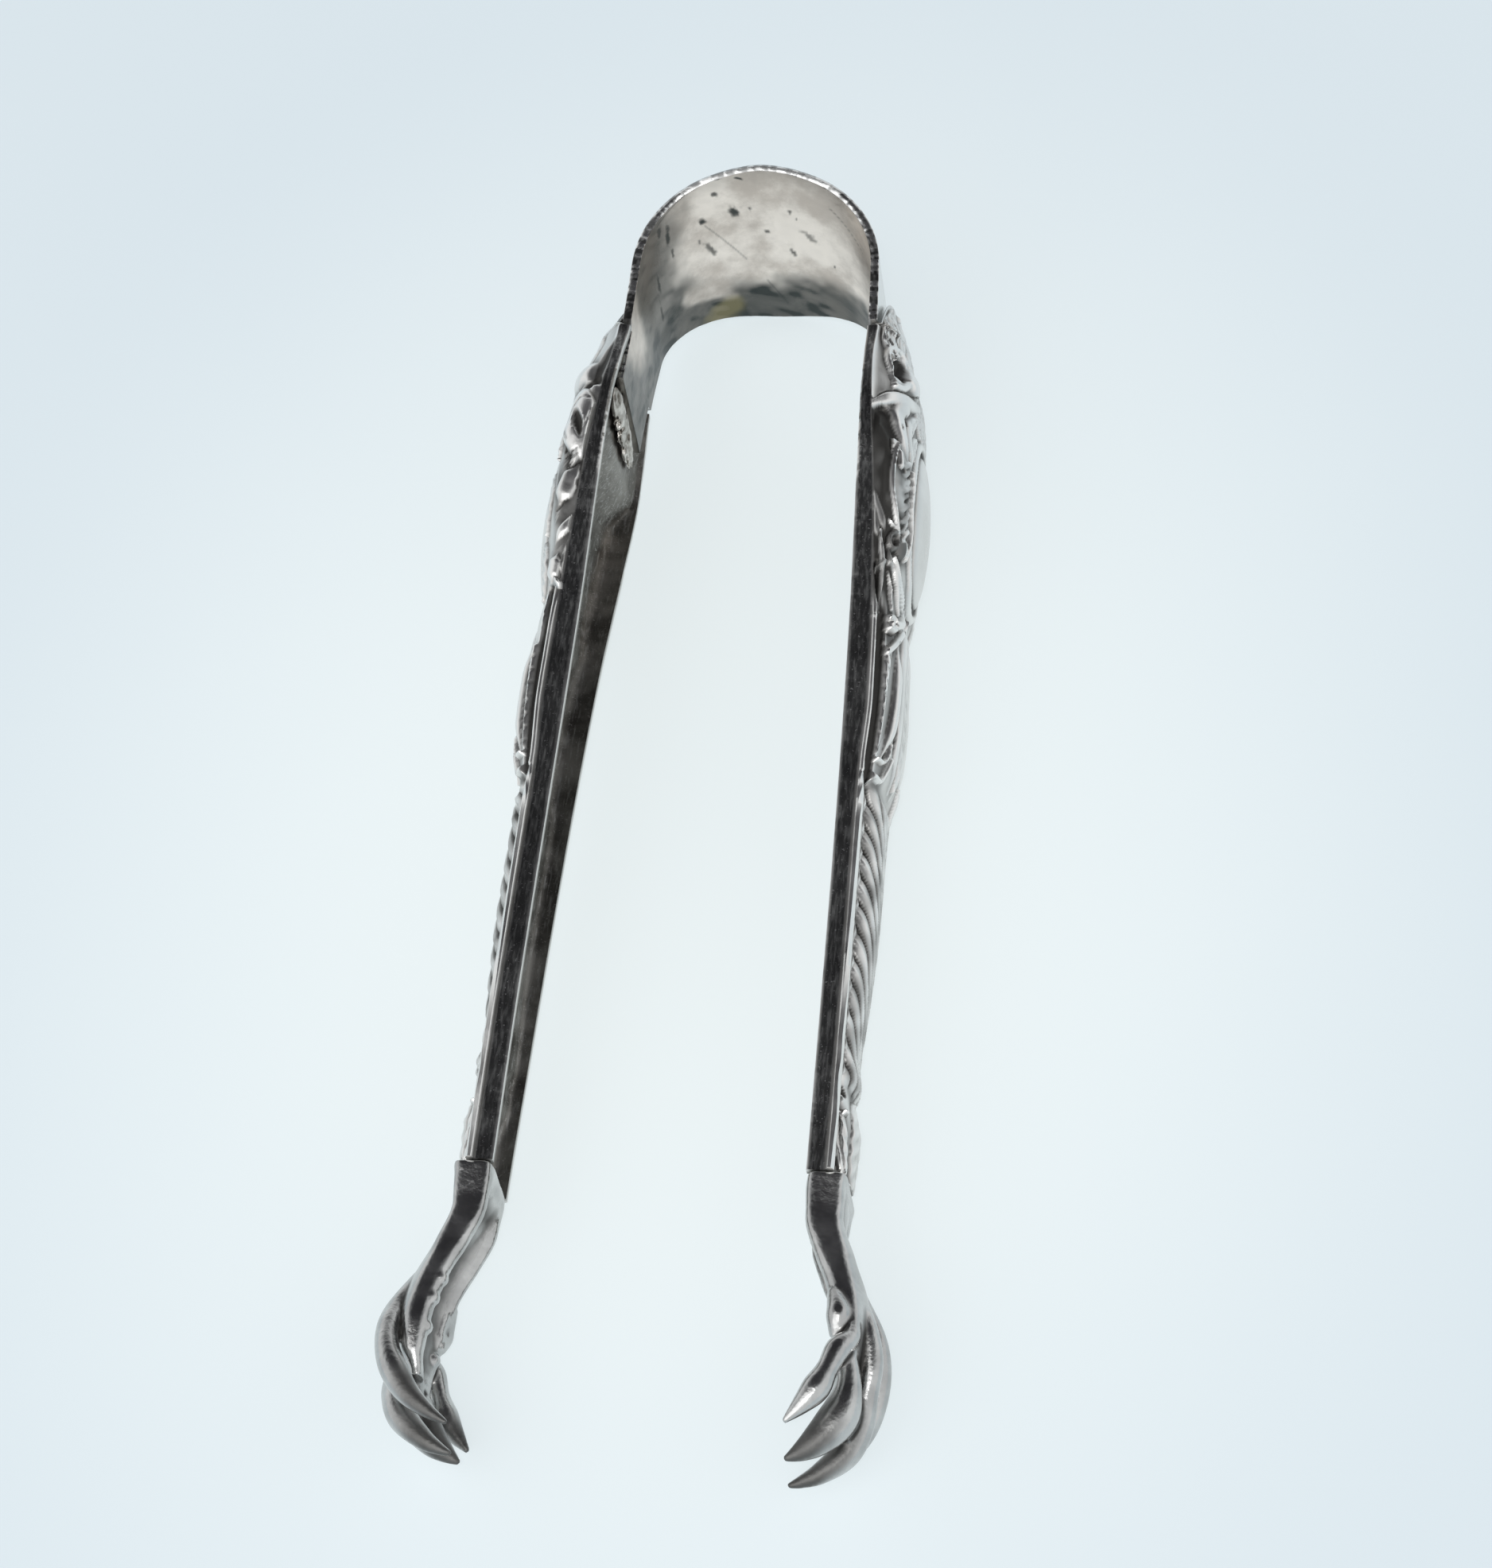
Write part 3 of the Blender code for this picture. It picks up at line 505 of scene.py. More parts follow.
    def oval(self, centre, radii, turn=0.0):
        """Distance from an oval's centre as a share of its radius in that direction."""
        dg, da = (self.g - self.flip * centre[0]) * self.flip, self.a - centre[1]
        c, s = math.cos(math.radians(turn)), math.sin(math.radians(turn))
        return np.hypot((dg * c + da * s) / radii[0], (da * c - dg * s) / radii[1])


def boss_and_palmette(r):
    """Middle of the face: a palmette over the bow, the smooth oval boss and its border, and long lobes."""
    for points, width in (
            (((0, 9), (0, 3), (0, -6.4)), 1.35),
            (((1.2, 9.2), (2.2, 4.5), (1.9, -1.5), (1, -4.8)), 1.0),
            (((2.2, 9.4), (3.9, 6), (4.3, 1.5), (3.3, -3)), 1.0)):
        for _ in r.sides():
            r.leaf(points, width, 0.34, 7)
    r.ring((0, 17.6), (4, 8.3), 0.42, 0.34)
    r.dome((0, 17.6), (3.55, 7.8), 1.05, power=0.55)
    rim = np.clip(1.0 - np.abs(r.oval((0, 17.6), (3.7, 7.95)) - 1.0) * 3.7 / 0.22, 0.0, 1.0)
    r.height -= 0.3 * rim
    r.darken(rim)
    for _ in r.sides():
        r.rib(((0.5, 44.5), (1.5, 40), (1.9, 34), (1.2, 28.5), (0.3, 26)), 0.75, 0.42, ENDS_THIN)
    r.leaf(((0, 44), (0, 36), (0, 26.6)), 1.0, 0.4, 9)


def upper_side(r):
    """Ornament of one side, from the bow down to the knots."""
    sprays(r)
    volute_and_hood(r)
    feather_band(r)
    folded_leaf(r)
    stippled_panel(r)


def sprays(r):
    """Three pointed blades that spread up over the bow."""
    for points, width in (
            (((6.4, 3.6), (5.5, 0.6), (4, -2.6), (2.9, -4.9)), 0.55),
            (((6, 3.4), (6, 0.8), (5, -1.9), (4, -3.6)), 0.5),
            (((6.9, 3.9), (6.9, 1.6), (6.3, -0.6), (5.6, -2)), 0.45)):
        r.leaf(points, width, 0.5, 4)
    r.cut(((5.6, 2.6), (5.5, 0.8), (4.6, -1.6)), 0.16, 0.2)


def volute_and_hood(r):
    """Open volute with its deep hollow, the smooth lobe beside it, and the hooded arch below."""
    r.rib(((3.2, 3.3), (4.3, 5), (5.4, 6.6)), 1.5, 0.75, ENDS_THIN)
    r.rib(((5, 2), (6.2, 2.2), (7.1, 2.9), (7.6, 4.1), (7.75, 5.6), (7.6, 6.9)), 0.3, 0.55)
    r.rib(((5, 2), (4.1, 3), (4.6, 4.4), (5.6, 6), (6.6, 7), (7.6, 7.3)), 0.4, 0.5)
    r.pit((6.35, 4.9), (0.95, 2.45), 0.8, turn=-35.0)
    r.rib(((6.9, 13.6), (6.8, 16), (6.5, 18.4), (5.7, 21.2)), 1.9, 0.24, ENDS_THIN)
    hood = ((3, 6.6), (5.2, 7.7), (6.6, 8.3), (7.9, 8.8), (9, 9.4), (9.9, 10), (10.5, 10.6))
    r.rib(hood, 0.72, 0.4, ((0, 0.8), (0.4, 1.1), (0.8, 0.75), (1, 0.5)), flat=4.0)
    limb = ((6.2, 8.8), (7.2, 10.2), (6.8, 12), (6.4, 13.4), (5.8, 14.8))
    r.rib(limb, 0.95, 0.45, ((0, 0.9), (0.6, 0.85), (1, 0.3)), flat=3.0)
    r.rib(((4.9, 8.8), (5.5, 11), (5.3, 13.2), (4.8, 15)), 0.7, 0.38, ENDS_THIN)
    # painted reflection of the dark room on the upright ground between the hood, the ridge and the rim
    edge = smooth(((10.4, 10.3), (10.9, 9), (11.6, 8), (13, 7.4), (14.2, 7.1), (15.4, 7.8), (18, 7.8),
                   (21, 6.8), (22.5, 5), (29, 4.4)), r.a)
    recess = step(10.2, 10.8, r.a) * (1.0 - step(27.5, 31.0, r.a)) * step(edge, edge + 0.2, r.g)
    r.darken(recess * (0.92 + 0.14 * mottle(r.a, r.g, 71, 1.3) - 0.1 * step(16.0, 22.0, r.a)))
    r.cliff(((10.9, 11.2), (10.2, 10.6), (9.5, 10.15), (8.6, 9.95), (8.1, 10.4), (7.8, 11.4), (7.4, 12.7),
             (7.1, 13.8), (6.7, 15)), 2.5, 0.55, ((0, 0.7), (0.3, 1), (0.8, 0.9), (1, 0.3)))
    r.cut(((3, 5.6), (5.3, 6.85), (6.9, 7.6), (8.2, 8.15), (9.3, 8.95), (10.3, 10.1)), 0.11, 0.16,
          ((0, 0.6), (0.5, 1), (1, 0.8)))
    for centre, long in (((6.1, 10.2), 0.6), ((7.1, 11.6), 0.35), ((6.1, 12.7), 0.4), ((5, 12), 0.35)):
        r.pit(centre, (0.12, long), 0.18, turn=14.0, dark=0.8)
    for points in (((3.6, 8.2), (4.6, 9.6), (5, 11.2)), ((3.5, 10.3), (4.3, 11.8), (4.5, 13.4))):
        r.leaf(points, 0.6, 0.34, 3)


def feather_band(r):
    """Band of slanting flutes between a thin bright ridge and the boss's border, ending in a curl."""
    ridge = ((7.7, 13.7), (7.9, 14.6), (8, 15.8), (7.95, 17.2), (7.7, 18.6), (7.25, 19.9), (6.65, 21.2),
             (6.1, 22.1))
    inner = ((5, 14.8), (4.75, 16.6), (4.8, 18.3), (4.45, 20), (4.2, 22))
    ridge_girth = [(a, g) for g, a in ridge]
    outer_line = smooth(ridge_girth, np.linspace(15.1, 22.3, 9)) - 0.35
    inner_line = smooth([(a, g) for g, a in inner], np.linspace(14.8, 21.0, 9)) + 0.2
    for k, (a_out, a_in) in enumerate(zip(np.linspace(15.9, 23.0, 9), np.linspace(14.0, 20.4, 9))):
        middle = ((outer_line[k] + inner_line[k]) / 2 + 0.2 * math.sin(5 * k), (a_out + a_in) / 2 + 0.35)
        path = ((inner_line[k], a_in), middle, (outer_line[k], a_out))
        r.rib(path, 0.38, 0.38 + 0.1 * math.cos(2.3 * k), ((0, 0.4), (0.35, 1), (0.75, 0.6), (1, 0.05)))
        low = [(g, a + 0.42) for g, a in path[:2]]
        r.cut(low, 0.13 + 0.05 * math.sin(2 * k), 0.16, ENDS_THIN, dark=0.6 + 0.4 * math.sin(2 * k))
    # painted shade on the ground between the flutes, under the ridge
    edge = smooth(ridge_girth, r.a)
    band = step(5.0, 5.6, r.g) * (1.0 - step(edge - 0.3, edge - 0.1, r.g)) * step(14.4, 15.4, r.a)
    band *= (1.0 - step(20.5, 22.5, r.a)) * (0.42 + 0.25 * mottle(r.a, r.g, 73, 0.7))
    r.darken(band)
    r.rib(ridge, 0.28, 0.42, ((0, 0.6), (0.3, 1), (1, 1)), flat=1.3)
    r.rib(((7.7, 14), (7.4, 14.9), (7.2, 15.8)), 0.35, 0.45, FADES_IN)
    r.rib(((4.9, 15), (4.5, 16.6), (4.7, 18.2), (4.2, 20), (4, 22), (4.4, 23.6)), 0.3, 0.5)
    r.dome((5.2, 23.1), (0.85, 1.25), 0.6, turn=-20.0)
    r.ring((6.4, 23), (0.45, 0.75), 0.2, 0.5)
    r.pit((6.3, 22.9), (0.4, 0.7), 0.3)
    r.rib(((6.2, 21.9), (7, 21.6), (7.6, 21)), 0.18, 0.3, FADES_OUT)
    r.rib(((9.6, 17.9), (8.9, 19.6), (7.9, 21.4), (7.1, 22.8)), 0.3, 0.14, ENDS_THIN)
    r.rib(((9.2, 19.6), (8.5, 21.4), (7.6, 23.2)), 0.3, 0.14, ENDS_THIN)


def folded_leaf(r):
    """Leaf of three long folds, the smooth band round its foot, and the small volute in the band's end."""
    for points, width in (
            (((7.7, 22.3), (7.2, 24.2), (6.7, 26), (6.3, 28), (6.2, 29.9)), 0.24),
            (((6.9, 23.6), (6.2, 25.3), (5.4, 27), (4.9, 29)), 0.3),
            (((6.3, 24.4), (5.3, 25.8), (4, 27.1), (3.2, 28.4)), 0.34)):
        r.rib(points, width, 0.5, ((0, 0.5), (0.3, 1), (1, 0.6)))
    r.cut(((7.3, 25.4), (6.6, 27.2), (6.1, 29.6)), 0.28, 0.3)
    r.cut(((6.2, 25.5), (5.1, 27.1), (4.3, 28.7)), 0.26, 0.3)
    shade = step(22.4, 23.6, r.a) * (1.0 - step(28.6, 30.0, r.a)) * step(5.4, 6.2, r.g)
    r.darken(shade * (0.5 + 0.45 * mottle(0.6 * r.a, r.g, 81, 0.5)))
    r.dome((6.9, 25.6), (0.28, 0.7), 0.62, turn=-20.0)
    r.rib(((6.1, 24.6), (4.6, 26.1), (2.4, 27.2), (1, 27.6)), 0.26, 0.6, FADES_OUT)
    r.rib(((1.3, 26.4), (1.7, 27.8), (2.9, 29.2), (4.1, 30.2), (5.1, 31.3)), 0.5, 0.62, FADES_IN)
    r.ring((5.15, 30.7), (0.55, 0.6), 0.24, 0.72)
    r.dome((5.15, 30.7), (0.3, 0.34), 0.75)
    r.dome((5.6, 30.2), (0.3, 0.22), 0.55)
    r.dome((6.6, 30.4), (0.3, 0.22), 0.55)
    r.cut(((4.4, 31.9), (5.6, 31.8), (6.8, 31.5)), 0.42, 0.6)
    r.dome((5.8, 32.6), (0.5, 0.32), 0.6, turn=30.0)
    r.rib(((2.9, 30.2), (3.9, 31.7), (5, 33.2), (5.6, 33.7)), 0.34, 0.55)


def stippled_panel(r):
    """Narrow pebbled spine between two grooves, the smooth lobe beside it, and the knots at its foot."""
    r.rib(((5, 33.5), (5, 38), (4.75, 43)), 0.48, 0.36, ((0, 1), (0.7, 0.8), (1, 0.5)))
    for k in range(15):
        r.pit((5.0 + (0.14 if k % 2 else -0.14), 33.8 + 0.62 * k), (0.13, 0.3), 0.14, 25.0, 0.6)
    r.cut(((3.9, 31.8), (4.15, 35), (4.2, 39.5), (4.7, 43)), 0.34, 0.45, ENDS_THIN)
    r.rib(((3.3, 31.6), (3.1, 36), (3.3, 40), (4.1, 43.3)), 0.62, 0.55, ENDS_THIN)
    r.cut(((2.5, 38.2), (2.15, 40), (1.9, 42)), 0.14, 0.25)
    r.rib(((3.3, 41.6), (3.7, 43.5), (4.9, 43.7)), 0.22, 0.5)
    r.rib(((2.6, 42.6), (3.2, 45), (4.4, 45.2)), 0.25, 0.45)
    r.dome((5.15, 43.4), (0.32, 0.32), 0.75)
    r.dome((4.75, 45.4), (0.45, 0.7), 0.8)


def lower_side(r):
    """Ornament of the other side: a ringed scroll, a curling leaf, a rosette and the same panel."""
    r.flip = -1
    ringed_scroll(r)
    curling_leaf(r)
    r.cut(((5.9, 28), (5.9, 29.6), (6, 31)), 0.5, 0.5)
    r.ring((6.2, 33.7), (0.62, 0.75), 0.28, 0.6)
    r.pit((6.2, 33.7), (0.35, 0.45), 0.3)
    for k in range(6):
        turn = math.radians(60 * k)
        r.dome((6.2 + 0.62 * math.cos(turn), 33.7 + 0.75 * math.sin(turn)), (0.22, 0.26), 0.7)
    for points, width in (
            (((4.4, 15), (5.4, 18), (5, 22)), 0.8), (((4.5, 22.4), (4.6, 25), (3.6, 28)), 0.8),
            (((4.2, 9), (5.4, 11.4), (5.6, 14)), 0.8), (((6.2, 10.6), (6.9, 12.6), (6.6, 15)), 0.6)):
        r.leaf(points, width, 0.36, 5)
    stippled_panel(r)
    r.flip = 1


def ringed_scroll(r):
    """Domed scroll with its rings and its eye, under a sweep of painted shadow that arches over it."""
    r.rib(((3, 4.6), (5.4, 5.4), (7.2, 6.2), (8.4, 7.2)), 1.5, 0.6, ENDS_THIN)
    # painted shadow down the flank and under the arch over the scroll
    r.cut(((8.2, 0.5), (8.6, 3), (9, 5.5), (9, 7.4)), 1.1, 0.2, FADES_IN, dark=0.7)
    r.cut(((10.4, 8.1), (9.3, 7.7), (8.1, 8.3), (7.2, 9.6), (6.9, 10.8)), 0.95, 0.4,
          ((0, 0.5), (0.3, 1), (0.7, 0.9), (1, 0.3)), dark=0.8)
    r.dome((8.95, 12.2), (1.5, 3.8), 0.75, -10.0, 0.45)
    r.cut(((9.6, 10.1), (8.9, 9.9), (8.3, 11.2), (8.2, 12.8), (8.5, 14.2)), 0.1, 0.09, dark=0.35)
    r.cut(((9.8, 11), (9.7, 12.6), (9.3, 14)), 0.1, 0.08, ENDS_THIN, dark=0.35)
    r.pit((9.1, 12.6), (0.36, 1.7), 0.5, -14.0)
    r.rib(((10, 13), (9.5, 14.8), (8.8, 16.3), (8, 17.2)), 0.45, 0.45, FADES_OUT)
    r.pit((8.1, 14.9), (0.22, 0.4), 0.3)
    for k in range(3):
        down = 0.55 * k
        r.cut(((9.5 - 0.2 * k, 15 + down), (8.5, 15.5 + down), (7.6, 16.3 + down)), 0.1, 0.14, ENDS_THIN, 0.7)


def curling_leaf(r):
    """Pale flat folds of a leaf that curls towards the rim, on ground darkened by mottled painted shade."""
    # painted shade on the ground round the leaf
    ground = step(-27.5, -24.0, -r.a) * step(14.0, 16.5, r.a) * step(6.2, 7.2, -r.g)
    r.darken(ground * (0.42 + 0.3 * mottle(r.a, r.g, 79, 0.9)))
    r.rib(((9.3, 16.6), (8.7, 17.8), (8, 19.2), (7.6, 20.2)), 0.85, 0.34, ENDS_THIN, flat=3.0)
    r.pit((9.35, 18.3), (0.3, 0.5), 0.25)
    for k in range(3):
        r.cut(((7.9 - 0.3 * k, 20.3 + 0.5 * k), (7.2 - 0.2 * k, 20.8 + 0.5 * k)), 0.12, 0.14, dark=0.8)
    r.rib(((9.3, 21.2), (8.5, 21.9), (7.4, 22.9), (6.6, 24)), 0.5, 0.36, FADES_OUT, flat=3.0)
    r.cut(((7.6, 24.2), (6.9, 24.7), (6.3, 24.5)), 0.28, 0.35)
    r.rib(((7, 24.9), (6.4, 26.2), (5.9, 27.4)), 0.62, 0.42, ENDS_THIN, flat=3.0)
    r.rib(((9, 22.4), (8.4, 24.4), (7.6, 26.6), (7.3, 27.8)), 0.75, 0.26, ENDS_THIN, flat=4.0)
    r.cut(((7.9, 23.6), (7.4, 25.4), (6.9, 27.2)), 0.07, 0.06, dark=0.3)
    r.dome((6.7, 27.6), (0.22, 0.6), 0.45, -20.0)


def twisted_stem(r):
    """Stem of strands twisted like a rope, a long bend in each, and the leaf that ends it above the ankle."""
    limit = np.abs(r.g[:, -1:]) - BEAD_BAND
    here = step(STEM_START - 0.4, STEM_START + 0.8, r.a) * (1.0 - step(STEM_END - 0.5, STEM_END + 0.4, r.a))
    inside = 1.0 - step(limit - 0.35, limit, np.abs(r.g))
    bend = 1.5 * r.g + 0.22 * limit * np.sin(math.pi * r.g / limit)
    phase = (r.a - STEM_START + bend) / STEM_PITCH + 0.09 * mottle(r.a, r.g, 75, 1.7)
    across = 2.0 * (phase - np.floor(phase)) - 1.0
    strand = np.clip(1.0 - across ** 2, 0.0, 1.0) ** 0.7
    value = here * inside * (0.45 * strand + 0.05 * np.cos(3 * math.pi * across))
    r.height = np.where(here > 0.01, np.maximum(r.height, value), r.height)
    # painted shade and tarnish between the strands, mottled
    shade_and_tarnish_level = 1.15 + 0.35 * mottle(r.a, r.g, 77, 1.1)
    r.darken(here * inside * np.clip(shade_and_tarnish_level - strand, 0.0, 1.0))
    for _ in r.sides():
        r.dome((3.3, 74.3), (0.34, 0.34), 0.6)
        r.dome((2.4, 75.3), (0.3, 0.3), 0.62)
        r.pit((2.5, 73.3), (0.8, 0.4), 0.4, -25.0)
        r.leaf(((2.9, 75.2), (2.6, 78), (1.7, 81.2)), 0.75, 0.4, 4)
        r.pit((3.1, 80), (0.3, 1), 0.3)
    r.leaf(((0, 73.2), (0, 77), (0, 82.2)), 1.5, 0.45, 6)
    r.dome((0.9, 81.4), (0.5, 0.8), 0.4)


def flank(r):
    """Plain flank inside each rim above the hood and the scroll, tilted by a dip deepest near the rim."""
    deepest = 0.9
    end = np.where(r.g > 0, 11.4, 8.6)
    here = step(-TONGUE_LENGTH, -3.0, r.a) * (1.0 - step(end - 1.8, end, r.a))
    r.height -= 0.42 * here * r.inset / deepest * np.exp(1.0 - r.inset / deepest)


def edge_bead(r):
    """Plain moulded bead along each rim below the shoulder, with a dark groove inside it."""
    here = step(27.5, 31.5, r.a)
    on_stem = step(44.0, 48.0, r.a)
    width = 0.42 + 0.2 * on_stem
    wider = 0.2 * on_stem
    bead = np.clip(1.0 - (r.inset / width - 0.55) ** 2 / 0.3, 0.0, 1.0) ** 0.6
    trough = step(width - 0.05, width + 0.12, r.inset) * (1.0 - step(1.0 + wider, 1.35 + wider, r.inset))
    r.height = r.height * (1.0 - here * (1.0 - step(1.0, 1.4, r.inset)))
    r.height += here * ((0.22 + 0.2 * on_stem) * bead - (0.36 - 0.26 * on_stem) * trough)
    r.dark = np.maximum(r.dark * (1.0 - here * (1.0 - step(0.9, 1.3, r.inset))), here * trough)


def arm_relief(a, g):
    """All the ornament of an arm, faded out at the tongue's tip and along the rims of the shoulder."""
    r = Relief(a + 0 * g, g)
    boss_and_palmette(r)
    upper_side(r)
    lower_side(r)
    twisted_stem(r)
    flank(r)
    edge_bead(r)
    free = step(-0.02, 0.12, r.inset) * step(-TONGUE_LENGTH, -TONGUE_LENGTH + 0.6, r.a)
    r.height = r.height * np.where(r.a > 27.5, 1.0, free)
    return r


def ornate_face(places):
    """Outer face: the plain one pushed out along its own normal by the ornament and a cast roughness."""
    a = places[:, None]
    z, offset, girth = plain_face(places)
    relief = arm_relief(a, girth)
    dz = np.gradient(z, axis=1)
    do = np.gradient(offset, axis=1)
    length = np.maximum(np.hypot(dz, do), 1e-6)
    height = relief.height + 0.012 * mottle(a + 0 * girth, girth, 11, 0.5)
    return z - height * do / length, offset + height * dz / length, relief


def arm_channel(places, half, base):
    """Hollow of the arm: level under the tongue, then a round-cornered channel that deepens past the lap."""
    a = places[:, None]
    tongue = a < 0
    inner_half = half - np.where(tongue, 0.5, ARM_WALL)
    lapped = STRIP_THICKNESS + FIT_GAP
    deep = np.maximum(arm_crest(places)[:, None] - GROUND_SINK - FLOOR_WALL, lapped)
    lap_end = LAP_LENGTH + 2.7
    floor = lapped + (deep - lapped) * step(lap_end, lap_end + 5.0, a)
    across = np.cos(np.linspace(0.0, math.pi, CHANNEL_COLUMNS))[None, :]
    hollow = np.clip(1.0 - np.abs(across) ** CHANNEL_POWER, 0.0, 1.0) ** (1 / CHANNEL_POWER)
    ripple = 0.05 * mottle(a + 0 * across, 5 * across + 0 * a, 7, 1.6) * hollow
    return inner_half * across, np.where(tongue, base, floor * hollow) + np.where(tongue, 0.0, ripple)


def arm_rings(places):
    """Rings of one arm: side wall, ornate face, side wall, lip, channel, lip; and each vertex's finish and
    painted shade.
    """
    z, offset, relief = ornate_face(places)
    half = arm_half_width(places)[:, None]
    rim = arm_rim(places)[:, None]
    base = arm_base(places)[:, None]
    nick = np.clip(wobble(places, 21, 0.35) - 0.35, 0.0, 1.0)[:, None] * 0.16
    share = np.linspace(0.0, 1.0, WALL_COLUMNS + 2)[None, 1:-1]
    wave = 0.02 * mottle(places[:, None] + 0 * share, 3 * share, 5, 2.0)
    wall_z = half - WALL_INSET + wave + WALL_INSET * share + nick * (1 - share) ** 3 * -0.6
    wall_offset = base + 0.05 + (rim - base - 0.05) * share
    channel_z, channel_offset = arm_channel(places, half, base)
    shoulder = step(5.0, 6.5, places) * (1.0 - step(16.0, 18.0, places))
    nicked = shoulder * (0.17 + 0.11 * wobble(places, 23, 0.2))
    lip_z = half - LIP_INSET - np.where(places[:, None] < 0, 0.0, 0.1 * nick + nicked[:, None])
    lip_offset = base + 0 * half
    z_ring = np.concatenate([-wall_z, z, wall_z[:, ::-1], lip_z, channel_z, -lip_z], 1)
    offset_ring = np.concatenate([wall_offset, offset, wall_offset[:, ::-1], lip_offset, channel_offset,
                                  lip_offset], 1)

    def spread(wall, face, lip, channel):
        """One value for each vertex of the rings, from a value for each part of a ring."""
        parts = (wall + 0 * wall_z, face + 0 * z, wall + 0 * wall_z, lip + 0 * half, channel + 0 * channel_z,
                 lip + 0 * half)
        return np.concatenate(parts, 1)

    # tarnish fills the hollows; the relief's dark adds painted shade
    low = softened(relief.height, 5, 4)
    cavity = np.clip((low - relief.height) / 0.16, 0.0, 1.0)
    worn = np.clip((relief.height - low) / 0.14, 0.0, 1.0)
    finish_and_shade = {
        "patina_and_shade": spread(0, np.clip(0.75 * cavity + relief.dark, 0.0, 1.0), 0, 0),
        "worn": spread(0, worn, 1, 0),
        "side_wall": spread(1, 0, 0, 0),
        "channel": spread(0, 0, 0, 1),
    }
    s = places[:, None] + SHOULDER_FOOT + 0 * z_ring
    return in_section(s, offset_ring, z_ring), finish_and_shade


class Sock:
    """Socket of a node tree with arithmetic: an expression on values adds its Math nodes."""

    def __init__(self, tree, socket):
        self.tree = tree
        self.socket = socket

    def math(self, operation, *values):
        """Result of a Math node on the given values."""
        return node(self.tree, "ShaderNodeMath", {"operation": operation}, values)

    def __add__(self, other):
        return self.math("ADD", self, other)

    __radd__ = __add__

    def __mul__(self, other):
        return self.math("MULTIPLY", self, other)

    __rmul__ = __mul__

    def between(self, low, high):
        """0 at low and below, 1 at high and above, smooth between."""
        inputs = {"Value": self, "From Min": low, "From Max": high}
        return node(self.tree, "ShaderNodeMapRange", {"interpolation_type": "SMOOTHSTEP"}, inputs)


def node(tree, kind, settings=None, inputs=(), output=0):
    """New node: its settings first, then the values or links of its sockets; returns the named output."""
    made = tree.nodes.new(kind)
    for key, value in (settings or {}).items():
        setattr(made, key, value)
    pairs = inputs.items() if isinstance(inputs, dict) else enumerate(inputs)
    for key, value in pairs:
        if isinstance(value, Sock):
            tree.links.new(value.socket, made.inputs[key])
        else:
            made.inputs[key].default_value = value
    return Sock(tree, made.outputs[output])


def blend_colour(tree, share, first, second):
    """Mix of two colours, each three numbers or a socket."""
    ends = [colour if isinstance(colour, Sock) else (*colour, 1.0) for colour in (first, second)]
    return node(tree, "ShaderNodeMix", {"data_type": "RGBA"}, {0: share, 6: ends[0], 7: ends[1]}, 2)


def attribute(tree, name):
    """Number stored for each vertex under a name."""
    return node(tree, "ShaderNodeAttribute", {"attribute_name": name}, (), "Fac")


def noise(tree, scale, detail=4.0, rough=0.55, stretch=(1.0, 1.0, 1.0)):
    """Noise of the given number of waves in a metre, stretched along the axes."""
    place = node(tree, "ShaderNodeTexCoord", None, (), "Object")
    place = node(tree, "ShaderNodeMapping", None, {"Vector": place, "Scale": stretch})
    inputs = {"Vector": place, "Scale": scale, "Detail": detail, "Roughness": rough}
    return node(tree, "ShaderNodeTexNoise", None, inputs, "Fac")


def new_material(name, metallic=1.0):
    """Material with its node tree and its shader."""
    material = bpy.data.materials.new(name)
    material.use_nodes = True
    tree = material.node_tree
    shader = tree.nodes["Principled BSDF"]
    shader.inputs["Metallic"].default_value = metallic
    return material, tree, shader


def feed(tree, shader, **sockets):
    """Sets or links the shader's sockets, named with underscores for spaces."""
    for key, value in sockets.items():
        target = shader.inputs[key.replace("_", " ")]
        if isinstance(value, Sock):
            tree.links.new(value.socket, target)
        else:
            target.default_value = value


def bumped(tree, height, distance, strength=0.5):
    """Normal that follows a height, which spans the given distance in metres."""
    inputs = {"Height": height, "Distance": distance, "Strength": strength}
    return node(tree, "ShaderNodeBump", None, inputs, "Normal")


